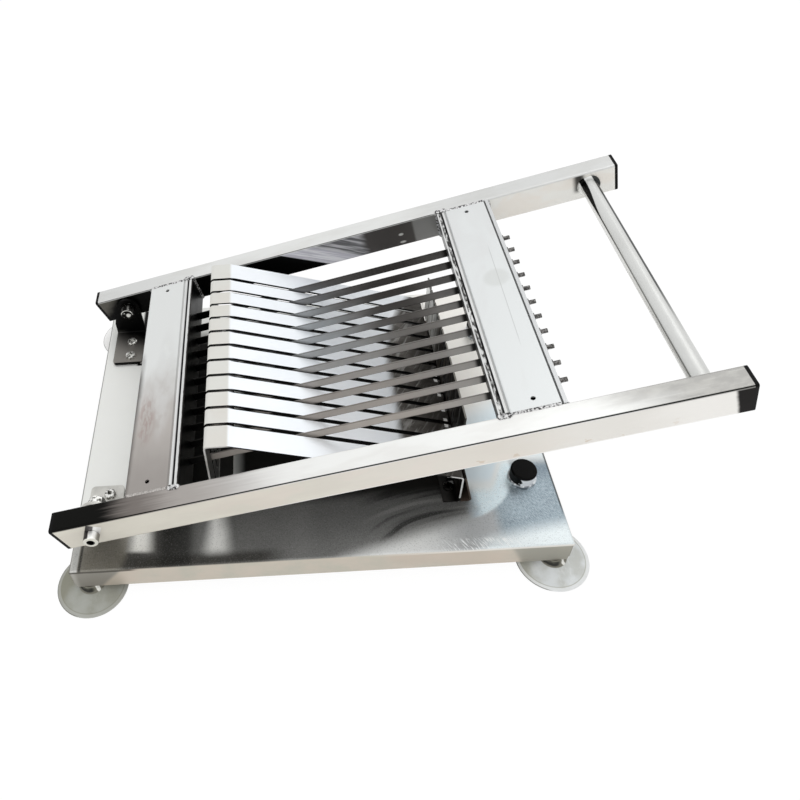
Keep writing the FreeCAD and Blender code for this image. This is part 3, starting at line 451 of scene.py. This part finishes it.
blade_pitch = 18.5  # millimetres from blade to blade
trough = Finish("trough steel, mirror polished", Metallic=0.45, Specular_IOR_Level=0.1)
here = trough.place()
x, y, z = trough.parts_of(here)
nx, ny, nz = trough.facing()
smudge = trough.noise(here, (40, 40, 40), 3.0)
fleck = trough.noise(here, (7, 5, 7), 3.0)
flat = trough.mix(smudge.rise(0.4, 0.7) * 0.4, tone(220, 220, 215), tone(212, 206, 198))
slope = trough.mix(smudge.rise(0.4, 0.7) * 0.4, tone(243, 247, 251), tone(234, 239, 244))
fold_lines = trough.noise(trough.turned(x, y, 60), (26, 3.5, 8), 2.0, 0.5, 0.4)
low_end_reflection = trough.mix(fleck.rise(0.35, 0.65), tone(84, 81, 77), tone(108, 105, 101))
low_end_reflection = trough.mix(fold_lines.rise(0.5, 0.68) * 0.6, low_end_reflection, tone(176, 175, 172))
low_end_reflection = trough.mix((x + (fleck - 0.5) * 20).rise(52, 74) * 0.7, low_end_reflection, tone(46, 43, 40))
# The painted dark reflection on the ramp starts at a wavy line, which lies lower down on the far side.
bow = y * 0.0164
boundary = 36 + bow * bow * y.rise(-10, 30) * 10 + (smudge - 0.5) * 5
slope = trough.mix((x - boundary + fold_lines * 6).rise(-1, 9), slope, low_end_reflection)
outside = trough.mix(x.rise(-112.6, -109.6), flat, slope)
# Each slot has painted shade on its lips and walls; the inner faces, the low parts towards the comb and the feet are
# painted in shade, and the near cut edges are painted dark, with a painted highlight on the legs' edges.
from_slot = abs((y / blade_pitch + 0.5).fraction() - 0.5) * blade_pitch
slot_lip_shade = from_slot.rise(2.3, 2.0) * abs(y).rise(98, 96) * x.rise(-112, -106)
outside = trough.mix(slot_lip_shade, outside, tone(14, 14, 14))
inside_shade = trough.mix(x.rise(-127, -100), tone(104, 103, 101), tone(34, 31, 28))
inner_face = nz.rise(-0.2, -0.4) + nx.rise(0.8, 0.95) * x.rise(-120, -125)
paint = trough.mix(inner_face, outside, inside_shade)
paint = trough.mix(z.rise(69.5, 68.5) * x.rise(60, 70), paint, tone(26, 23, 21))
foot_shade = trough.mix(x.rise(84, 74), tone(12, 11, 10), tone(62, 61, 59))
paint = trough.mix(nz.rise(0.6, 0.8) * z.rise(39, 38), paint, foot_shade)
slot_wall = abs(ny).rise(0.6, 0.8)
paint = trough.mix(slot_wall * abs(y).rise(110, 104), paint, tone(10, 10, 10))
near_edge = slot_wall * y.rise(-110, -112)
legs = x.rise(-108, -114) + x.rise(74, 77) * z.rise(40.5, 41.5)
near_edge_light_and_shade = trough.mix(legs, tone(26, 25, 24), tone(228, 228, 226))
paint = trough.mix(near_edge, paint, near_edge_light_and_shade)
# Light falls through the comb on the low edge, in a row of glints between the slots.
between_slots = from_slot.within(1.8, 5.2, 0.3) * (x + fleck * 3).within(82.0, 85.6, 0.5)
glints = between_slots * y.within(-100, 5, 4) * nz.rise(-0.2, 0.2)
paint = trough.mix(glints, paint, tone(250, 250, 248))
trough.set("Base Color", paint)
trough.set("Roughness", 0.38 + 0.10 * smudge)
rolling = trough.noise(here, (60, 1.2, 20), 2.0)
trough.bump(rolling, 0.04, 0.0002)
trough.on("roll_trough")

comb = Finish("comb steel, polished fingers", Metallic=0.5, Specular_IOR_Level=0.1)
here = comb.place()
_, y, z = comb.parts_of(here)
_, ny, nz = comb.facing()
smudge = comb.noise(here, (6, 3, 16), 3.0)
# Painted light and shade: the far fingers are bright and the near ones nearly black with brown clouds, with painted
# black shade on the near tops, greyer painted light on the cut edges and upper faces, and the low part painted dark
# brown, in shade.
far_end = (y + (smudge - 0.5) * 30).rise(20, 62)
shine = comb.mix((smudge + y * 0.002).rise(0.42, 0.58), tone(8, 7, 7), tone(84, 78, 72))
shine = comb.mix(far_end, shine, tone(238, 238, 234))
shine = comb.mix(z.rise(118.4, 119.2) * y.rise(88, 80), shine, tone(8, 8, 8))
finger_edges = comb.mix(y.rise(60, -10), tone(150, 149, 145), tone(60, 58, 56))
shine = comb.mix(abs(ny).rise(0.6, 0.8), shine, finger_edges)
shine = comb.mix(nz.rise(0.6, 0.8) * z.rise(100, 110), shine, tone(150, 148, 142))
comb.set("Base Color", comb.mix(z.rise(72, 69), shine, tone(88, 76, 68)))
comb.set("Roughness", 0.34 + 0.12 * smudge)
comb.bump(comb.noise(here, (20, 1.0, 12), 2.0), 0.06, 0.0002)
comb.on("stop_comb")


# Buffers: a turned metal base screwed down from under the tray, with a black rubber pad pressed on top.
# The rubber is moulded smooth, with a painted reflection on its side towards the handle.

rubber = Finish("buffer rubber, black and smooth", Specular_IOR_Level=0.08)
here = rubber.place()
x, y, z = rubber.parts_of(here)
dust = rubber.noise(here, (3, 3, 3), 3.0)
paint = rubber.mix(dust.rise(0.5, 0.8) * 0.5, tone(1, 1, 1), tone(16, 15, 14))
# The pads carry a painted reflection of the table on their side towards the handle.
gleam = (x + (y + 94.5) * 0.35 + (dust - 0.5) * 7).rise(138.6, 139.6) * z.rise(48, 46)
paint = rubber.mix(gleam, paint, tone(232, 235, 238))
rubber.set("Base Color", paint)
rubber.set("Roughness", 0.35 + 0.22 * dust)
rubber.bump(rubber.noise(here, (1.2, 1.2, 1.2), 2.0), 0.15, 0.0003)
rubber.on("buffer_pad_far", "buffer_pad_near")

turned = Finish("buffer base, turned metal", Metallic=0.8)
here = turned.place()
rings = turned.noise(here, (30, 30, 0.3), 2.0)
blot = turned.noise(here, (5, 5, 5), 2.0)
turned.set("Base Color", turned.mix(blot.rise(0.4, 0.6), tone(226, 230, 232), tone(120, 126, 132)))
turned.set("Roughness", 0.25 + 0.15 * rings)
turned.bump(rings, 0.2, 0.0002)
turned.on("buffer_base_far", "buffer_base_near")


# Arms: rectangular stainless tube 20 x 30 mm, cut slanting at the tail, polished along its length.
# The hinge end carries a painted dark reflection of the room; soft clouds of tone and fine length-wise lines cover the
# rest.

lift = 14.25  # degrees between the frame and the table, as it stands
hinge = Vector(frame["joints"][0]["pos_m"])


class FrameFinish(Finish):
    """A finish of the tilting frame, whose places run along, across and above the frame's own plane."""

    def place(self, turn=lift, about=hinge):
        return super().place(turn, about)


arm = FrameFinish("arm steel, polished tube", Metallic=0.5, Specular_IOR_Level=0.1)
here = arm.place()
s, y, n = arm.parts_of(here)
cloud = arm.noise(here, (46, 14, 14), 3.0, 0.55)
spots = arm.noise(here, (9, 6, 6), 2.0)
blush = arm.noise(here, (44, 24, 20), 2.0, 0.5, 0.6)
grain = arm.noise(here, (120, 0.5, 0.5), 2.0, 0.6)
upper = n.rise(12.6, 14.2)
near = y.rise(-100, -120)
outer = y.rise(-149.4, -150.6)
# Tops: light grey, painted lighter on the near arm, with a painted dark reflection streaked over the near arm's
# hinge end, and its handle end duller and blotched.
top_paint = arm.mix(cloud.rise(0.4, 0.7) * 0.5, tone(214, 215, 214), tone(202, 202, 199))
lighter = arm.mix(cloud.rise(0.4, 0.7) * 0.5, tone(240, 241, 239), tone(226, 225, 222))
top_paint = arm.mix(near + s.within(60, 330, 50) * 0.5, top_paint, lighter)
lines = arm.noise(here, (60, 1.6, 4), 2.0, 0.6)
lean = s - 18 + (y + 141) * 0.25 + (cloud - 0.5) * 26 + (lines - 0.5) * 26
shadow = arm.mix(lean.rise(-4, 26), tone(9, 9, 7), tone(122, 116, 112))
shadow = arm.mix(lean.rise(26, 66), shadow, tone(170, 165, 161))
shadow = arm.mix(lean.rise(70, 170), shadow, tone(236, 236, 234))
top_paint = arm.mix(near * s.rise(200, 150), top_paint, shadow)
dull_end = (s + (cloud - 0.5) * 60).rise(400, 480) * near
dull_end_tone = arm.mix(spots.rise(0.35, 0.65), tone(178, 177, 173), tone(166, 165, 162))
top_paint = arm.mix(dull_end, top_paint, dull_end_tone)
top_paint = arm.mix(dull_end * lines.rise(0.55, 0.7) * 0.5, top_paint, tone(214, 214, 211))
# Sides: a painted warm reflection of the table, with soft pink and brown blots, a painted highlight on the lower
# rounding and a dark front end.
side_paint = arm.mix(cloud.rise(0.35, 0.65) * 0.6, tone(224, 220, 208), tone(216, 211, 200))
side_paint = arm.mix(blush.rise(0.50, 0.62) * s.rise(20, 200) * 0.4, side_paint, tone(230, 218, 208))
side_paint = arm.mix(s.rise(120, 300) * 0.6, side_paint, tone(236, 231, 224))
side_paint = arm.mix((s + (cloud - 0.5) * 60).rise(340, 400) * 0.8, side_paint, tone(240, 238, 233))
side_paint = arm.mix(spots.rise(0.64, 0.7) * s.rise(240, 300) * n.rise(-2, -8) * 0.5, side_paint, tone(206, 188, 166))
side_paint = arm.mix((s + (cloud - 0.5) * 40).rise(430, 480) * 0.8, side_paint, tone(250, 248, 244))
side_paint = arm.mix(n.rise(-12.2, -13.4) * s.rise(100, 180), side_paint, tone(255, 254, 250))
front_end = (s + (n + (spots - 0.5) * 9) * 0.14).rise(503.5, 506.5)
side_paint = arm.mix(outer * front_end, side_paint, tone(10, 5, 3))
# A painted reflection of the near pivot head lies on the outer side above it.
side_way, out_way = s * 0.85 - n * 0.528, s * 0.528 + n * 0.85
head_reflection = arm.mix((side_way + 0.4).rise(-0.8, 0.8), tone(70, 67, 70), tone(250, 250, 248))
head_reflection = arm.mix(side_way.rise(-5.0, -5.8), head_reflection, tone(14, 13, 12))
head_reflection_area = outer * side_way.within(-6.5, 6.3, 0.4) * out_way.within(0, 12.6, 0.6)
side_paint = arm.mix(head_reflection_area * 0.92, side_paint, head_reflection)
# The far arm's inner side carries painted reflections of the dark trough, the left rail's end, then the blades in
# slanted pale streaks, with painted highlights among them.
across = s + n * 1.7
streak = arm.noise(arm.node("ShaderNodeCombineXYZ", None, {0: across, 1: n}), (5, 34, 5), 2.0, 0.5, 0.5)
mirror = arm.mix((s - n * 0.9 + (spots - 0.5) * 8).rise(-30, -14), tone(92, 90, 84), tone(10, 10, 10))
mirror = arm.mix(s.within(79.2, 81.2, 0.5) + s.within(70, 79, 2) * n.rise(4, 8) * 0.9, mirror, tone(236, 236, 234))
mirror = arm.mix(s.within(71, 79, 2) * n.rise(5, -2), mirror, tone(128, 128, 128))
beyond = arm.mix(streak.rise(0.4, 0.6), tone(214, 212, 220), tone(250, 249, 252))
duller = arm.mix(streak.rise(0.42, 0.6), tone(124, 124, 126), tone(214, 213, 216))
beyond = arm.mix(across.rise(232, 240), beyond, duller)
beyond = arm.mix((s + (cloud - 0.5) * 14).rise(261, 271), beyond, tone(92, 89, 87))
gleams = arm.spot(s, n, (304, 0), (2.4, 1.6), 0.7) + arm.spot(s, n, (304.5, -10), (3, 1.4), 0.7)
beyond = arm.mix(gleams * 0.8, beyond, tone(240, 240, 236))
beyond = arm.mix(s.rise(316, 319), beyond, tone(150, 149, 147))
mirror = arm.mix(across.rise(200.5, 203.5), mirror, beyond)
cream = arm.mix(blush.rise(0.45, 0.62) * 0.5, tone(238, 237, 232), tone(236, 228, 218))
mirror = arm.mix(s.rise(360, 400), mirror, cream)
mirror = arm.mix(s.within(477, 486, 3) * n.rise(-8, -2) * 0.9, mirror, tone(14, 14, 13))
side_paint = arm.mix(y.within(128, 132, 1), side_paint, mirror)
paint = arm.mix(upper, side_paint, top_paint)
# A thin painted dark reflection follows the rounded edges that the camera looks along.
seen_edges = y.within(-151.2, -150.0, 0.2) + y.within(130.8, 131.6, 0.2) * s.rise(345, 335)
paint = arm.mix(n.within(13.9, 15.2, 0.25) * seen_edges * 0.97, paint, tone(12, 11, 10))
arm.set("Base Color", paint)
arm.set("Roughness", 0.34 + 0.12 * cloud)
arm.bump(grain, 0.10, 0.0002)
arm.on("arm_far", "arm_near")


# Arm plugs: black plastic, moulded and pushed into the open tube ends of both arms.
# They are slightly glossy, with soft edges and a few paler worn spots.

plug = FrameFinish("plug plastic, black moulded", Specular_IOR_Level=0.1)
here = plug.place()
wear = plug.noise(here, (3, 3, 3), 3.0)
plug.set("Base Color", plug.mix(wear.rise(0.5, 0.75) * 0.6, tone(3, 3, 3), tone(26, 24, 23)))
plug.set("Roughness", 0.3 + 0.25 * wear)
plug.bump(plug.noise(here, (0.8, 0.8, 0.8), 2.0), 0.2, 0.0002)
plug.on("arm_cap_tail_far", "arm_cap_tail_near", "arm_cap_front_far", "arm_cap_front_near")


# Cross tubes: rectangular tube 40 x 30 mm between the arms, drained by two small holes each.
# The left one carries painted reflections of the room in grey and rust-brown clouds;
# the right one is painted pale and bluish.

cross = FrameFinish("cross tube steel, polished", Metallic=0.5, Specular_IOR_Level=0.1)
here = cross.place()
s, y, n = cross.parts_of(here)
cloud = cross.noise(here, (24, 60, 24), 3.0, 0.55, 0.6)
fine = cross.noise(here, (8, 14, 8), 3.0)
left = s.rise(200, 190)
# The right tube has one long scratch and a round stain.
pale = cross.mix((cloud + y * 0.001).rise(0.45, 0.7) * 0.5, tone(224, 227, 227), tone(218, 219, 219))
long_scratch = abs(s - 377.4 - y * 0.0215).rise(0.5, 0.2) * y.within(-60, 60, 10)
pale = cross.mix(long_scratch * 0.35, pale, tone(150, 150, 150))
round_stain = cross.spot(s, y, (376, 19), (11, 11), 0.5)
pale = cross.mix(round_stain * 0.35, pale, tone(196, 198, 194))
# The left tube is painted greyer towards the user, with a painted highlight in its middle, painted shade along its
# left edge, and reddish in one place.
grey = cross.mix((y + (cloud - 0.5) * 90).rise(40, -60), tone(224, 226, 225), tone(184, 179, 175))
grey = cross.mix((y + (cloud - 0.5) * 60).rise(-50, -120), grey, tone(160, 155, 151))
middle_highlight = cross.spot(s, y, (60, -10), (9, 60), 0.8) * fine.rise(0.3, 0.6)
grey = cross.mix(middle_highlight * 0.5, grey, tone(214, 215, 214))
left_edge_shade = (s - y * 0.02 + (cloud - 0.5) * 4).rise(41, 35) * (y + (fine - 0.5) * 40).rise(40, -10)
grey = cross.mix(left_edge_shade * 0.85, grey, tone(74, 71, 68))
reddish_cloud = cross.spot(s, y, (46, -52), (8, 26), 0.9) * cross.noise(here, (3, 12, 6), 3.0, 0.6).rise(0.42, 0.6)
grey = cross.mix(reddish_cloud * 0.4, grey, tone(150, 118, 112))
grey = cross.mix(s.within(71.6, 72.8, 0.4) * 0.5, grey, tone(110, 110, 108))
paint = cross.mix(left, pale, grey)
# Painted dark lines follow the top edges, and the flanks are painted darker, in shade.
edge = s.within(389.4, 390.6, 0.3) * n.rise(12, 14) + s.within(33.2, 34.2, 0.2) * n.rise(12, 14)
paint = cross.mix(edge * 0.9, paint, tone(50, 50, 50))
flank_shade = cross.mix(cloud, tone(196, 195, 191), tone(170, 168, 164))
cross.set("Base Color", cross.mix(n.rise(12.8, 11.8), paint, flank_shade))
cross.set("Roughness", 0.34 + 0.14 * fine)
cross.bump(cross.noise(here, (0.5, 90, 0.5), 2.0, 0.6), 0.08, 0.0002)
cross.on("cross_tube_left", "cross_tube_right")


# Backing bars, blade rails and tension bar: flat stainless bars sawn to length, slotted or drilled for the
# blades and welded between the arms, with bright ground faces, painted shade lines along the rails and painted black
# shade on their lower faces.

bar = FrameFinish("bar steel, ground flat", Metallic=0.6, Specular_IOR_Level=0.1)
here = bar.place()
s, _, n = bar.parts_of(here)
cloud = bar.noise(here, (10, 30, 10), 3.0)
saw = bar.noise(here, (0.6, 5, 5), 2.0)
grime_and_shade = bar.noise(here, (2, 7, 4), 3.0, 0.7)
paint = bar.mix(cloud.rise(0.4, 0.7) * 0.4, tone(222, 223, 222), tone(202, 203, 202))
# Ragged painted shade lines run along the rails' slotted sides, and the lower faces are painted black, in shade.
ragged_along = s + (grime_and_shade - 0.5) * 1.2
paint = bar.mix(ragged_along.rise(80.2, 80.7) * ragged_along.rise(90, 85), paint, tone(40, 38, 37))
paint = bar.mix(ragged_along.within(344.0, 346.6, 0.3) * grime_and_shade.rise(0.62, 0.42), paint, tone(56, 55, 54))
paint = bar.mix(ragged_along.within(341, 343.0, 0.3) * grime_and_shade.rise(0.4, 0.55), paint, tone(80, 78, 76))
paint = bar.mix(s.within(76.0, 76.9, 0.2) + s.within(349.9, 350.9, 0.2) * 0.6, paint, tone(120, 120, 120))
paint = bar.mix(n.rise(14.2, 13.4) * s.within(50, 345, 5), paint, tone(9, 9, 9))
paint = bar.mix(s.rise(390.6, 391.4) * 0.8, paint, tone(206, 208, 209))
bar.set("Base Color", paint)
bar.set("Roughness", 0.30 + 0.15 * cloud)
bar.bump(saw, 0.15, 0.0002)
bar.on("backing_bar_left", "backing_bar_right", "blade_rail_left", "blade_rail_right", "tension_bar")


# Welds: beads laid with a filler rod where the bars and tubes meet the arms, brushed afterwards.
# They are duller than the tube, rippled across their run, with dark heat marks in patches.

weld = FrameFinish("weld bead, brushed", Metallic=0.6)
here = weld.place()
ripple = weld.node("ShaderNodeTexWave", {"wave_type": "BANDS", "bands_direction": "X"}, {
    "Vector": weld.node("ShaderNodeMapping", None, {"Vector": here, "Scale": (0.16, 0.16, 0.16)}),
    "Scale": 1.0, "Distortion": 2.5, "Detail": 2.0})
lumps = weld.noise(here, (2.2, 2.2, 2.2), 3.0)
s, y, _ = weld.parts_of(here)
bead = weld.mix(lumps.rise(0.44, 0.6), tone(214, 214, 214), tone(58, 57, 58))
quiet = weld.mix(lumps.rise(0.4, 0.7), tone(186, 182, 178), tone(150, 146, 142))
weld.set("Base Color", weld.mix(y.rise(-100, -120) * s.rise(76, 70), bead, quiet))
weld.set("Roughness", 0.25 + 0.3 * lumps)
weld.bump(ripple * 0.6 + lumps, 0.8, 0.0006)
weld.on("frame_welds", "rail_welds")


# Blades: thin ground strip steel, drawn tight, with a bright edge below and grinding lines along them.
# Their flat sides are a dull grey that is browner towards the user.

blade = FrameFinish("blade steel, ground strip", Metallic=0.4, Specular_IOR_Level=0.1)
here = blade.place()
s, y, n = blade.parts_of(here)
length_lines = blade.noise(here, (160, 2, 0.35), 2.0, 0.6)
blur = blade.noise(here, (34, blade_pitch, 8), 2.0)
paint = blade.mix((y + (blur - 0.5) * 20).rise(90, -40), tone(98, 95, 93), tone(178, 174, 170))
# Their hinge halves carry a painted reflection of the bright ramp, and their handle ends and hinge ends are painted
# dark, as reflections of the dark below the cross tubes.
near_tone = blade.mix(y.rise(20, -60), tone(184, 187, 189), tone(184, 177, 171))
hinge_half_reflection = blade.mix(y.rise(90, 40), tone(140, 141, 143), near_tone)
paint = blade.mix((s + y * 0.5 + (blur - 0.5) * 40).rise(290, 210), paint, hinge_half_reflection)
paint = blade.mix((s + (blur - 0.5) * 10).within(255, 305, 14) * y.rise(-10, 30) * 0.5, paint, tone(64, 61, 58))
paint = blade.mix(s.rise(337, 341), paint, tone(40, 38, 36))
paint = blade.mix(s.rise(104, 96), paint, tone(8, 8, 8))
paint = blade.mix((n.rise(-3.2, -2.5) + n.rise(-10.4, -11)) * 0.5, paint, tone(50, 48, 46))
blade.set("Base Color", paint)
blade.set("Roughness", 0.38 + 0.15 * length_lines)
blade.bump(length_lines, 0.15, 0.0002)
blade.on(*["blade_%02d" % number for number in range(1, 12)])


# Handle bar and collars: round polished tube 16 mm across between the arms, with a ring at each end
# that hides its weld. It is painted with reflections: a bright strip and a dark line on its hinge side, and a dark
# line along its other side.

handle = FrameFinish("handle steel, bright tube", Metallic=0.5, Specular_IOR_Level=0.1)
low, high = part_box("handle_bar")
here = handle.place(about=(low + high) / 2)
s, y, n = handle.parts_of(here)
cloud = handle.noise(here, (20, 40, 20), 3.0)
paint = handle.mix(cloud.rise(0.4, 0.7) * 0.35 * y.rise(80, 20), tone(216, 217, 215), tone(196, 196, 193))
# Around is how far a point lies from the middle line as the camera sees the bar, positive away from the hinge.
around = s * 0.937 + n * 0.349
wedge = (y + (cloud - 0.5) * 12).rise(70, 124)
# A painted highlight runs along the bar's hinge side.
paint = handle.mix(around.rise(-5.4, -5.8), paint, tone(240, 240, 237))
# A painted dark reflection follows the bar on its hinge side and widens into a wedge at its far end.
line = abs(around + 5.0 - wedge * 1.6) - wedge * 2.2
line_tone = handle.mix(y.rise(0, 90), tone(140, 140, 136), tone(10, 10, 9))
paint = handle.mix(line.rise(0.7, 0.3), paint, line_tone)
# A painted dark reflection runs along the bar's other side, over its far part.
paint = handle.mix(around.rise(6.1, 6.7) * y.rise(-90, -20) * 0.95, paint, tone(14, 22, 22))
handle.set("Base Color", paint)
handle.set("Roughness", 0.28 + 0.12 * cloud)
handle.bump(handle.noise(here, (0.6, 40, 0.6), 2.0), 0.06, 0.0002)
handle.on("handle_bar", "handle_collars")


# Studio: a white table and backdrop, one broad soft lamp above and a weaker one at the side.
# The camera stands where the photograph was taken from.

floor_mesh = bmesh.new()
bmesh.ops.create_grid(floor_mesh, x_segments=1, y_segments=1, size=6.0)
floor_data = bpy.data.meshes.new("table_top")
floor_mesh.to_mesh(floor_data)
floor_mesh.free()
table_top = bpy.data.objects.new("table_top", floor_data)
table_top.location.z = -0.0004
bpy.context.scene.collection.objects.link(table_top)

# The table glows for rays that see it, straight or in a mirror, so that it looks pure white but for a soft shadow.
white = Finish("white table", Roughness=0.9)
white.set("Base Color", (0.86, 0.86, 0.86, 1.0))
rays = white.node("ShaderNodeLightPath").socket.node.outputs
seen, *others = [Wire(white, rays["Is %s Ray" % kind]) for kind in ("Camera", "Glossy", "Transmission")]
for other in others:
    seen = seen.maths("MAXIMUM", seen, other)
glow = white.node("ShaderNodeEmission", None, {"Color": (1.0, 1.0, 1.0, 1.0), "Strength": 1.05})
blend = white.node("ShaderNodeMixShader", None, {
    0: seen * 0.9, 1: Wire(white, white.shader.outputs[0]), 2: glow})
white.join(blend, white.material.node_tree.nodes["Material Output"].inputs["Surface"])
floor_data.materials.append(white.material)

# The backdrop is white to the eye and in mirrors, but what it lights diffusely gets a little less of it.
diffuse_loss = 0.22
world = bpy.data.worlds.new("studio")
world.use_nodes = True
bpy.context.scene.world = world
sky = world.node_tree
paths = sky.nodes.new("ShaderNodeLightPath")
plain = sky.nodes.new("ShaderNodeMath")
plain.operation = "MULTIPLY_ADD"
sky.links.new(paths.outputs["Is Diffuse Ray"], plain.inputs[0])
plain.inputs[1].default_value = -diffuse_loss
plain.inputs[2].default_value = 1.0
sky.links.new(plain.outputs[0], sky.nodes["Background"].inputs["Strength"])
sky.nodes["Background"].inputs["Color"].default_value = (1.0, 1.0, 1.0, 1.0)


def soft_lamp(name, place, aim, size, power):
    """A square lamp at a place, turned to a point; metres and watts."""
    lamp = bpy.data.lights.new(name, "AREA")
    lamp.shape, lamp.size, lamp.energy = "SQUARE", size, power
    holder = bpy.data.objects.new(name, lamp)
    holder.location = place
    holder.rotation_euler = (Vector(aim) - Vector(place)).to_track_quat("-Z", "Y").to_euler()
    bpy.context.scene.collection.objects.link(holder)


soft_lamp("lamp over the table", (0.5, 0.4, 1.5), (0.0, 0.0, 0.05), 1.2, 4.5)
soft_lamp("lamp at the side", (-0.9, -1.0, 1.0), (0.0, 0.0, 0.1), 0.9, 2.3)

# Turn, dip and roll are in radians and the camera's place is in metres, fitted to the photograph's corner points.
turn, dip, roll = 0.023, 0.765, 0.078
ahead = Vector((-math.sin(turn) * math.cos(dip), math.cos(turn) * math.cos(dip), -math.sin(dip)))
level = Vector((math.cos(turn), math.sin(turn), 0.0))
below = ahead.cross(level)
right = math.cos(roll) * level + math.sin(roll) * below
down = -math.sin(roll) * level + math.cos(roll) * below
camera = bpy.data.objects.new("camera", bpy.data.cameras.new("camera"))
camera.matrix_world = Matrix.Translation((-0.055192, -0.496918, 0.634007)) @ Matrix(
    (right, -down, -ahead)).transposed().to_4x4()
camera.data.sensor_width = 36.0
camera.data.lens = 34.6216
camera.data.shift_x = 0.15430
camera.data.shift_y = -0.09390
camera.data.clip_start = 0.01
bpy.context.scene.collection.objects.link(camera)
bpy.context.scene.camera = camera
bpy.context.scene.view_settings.view_transform = "Standard"
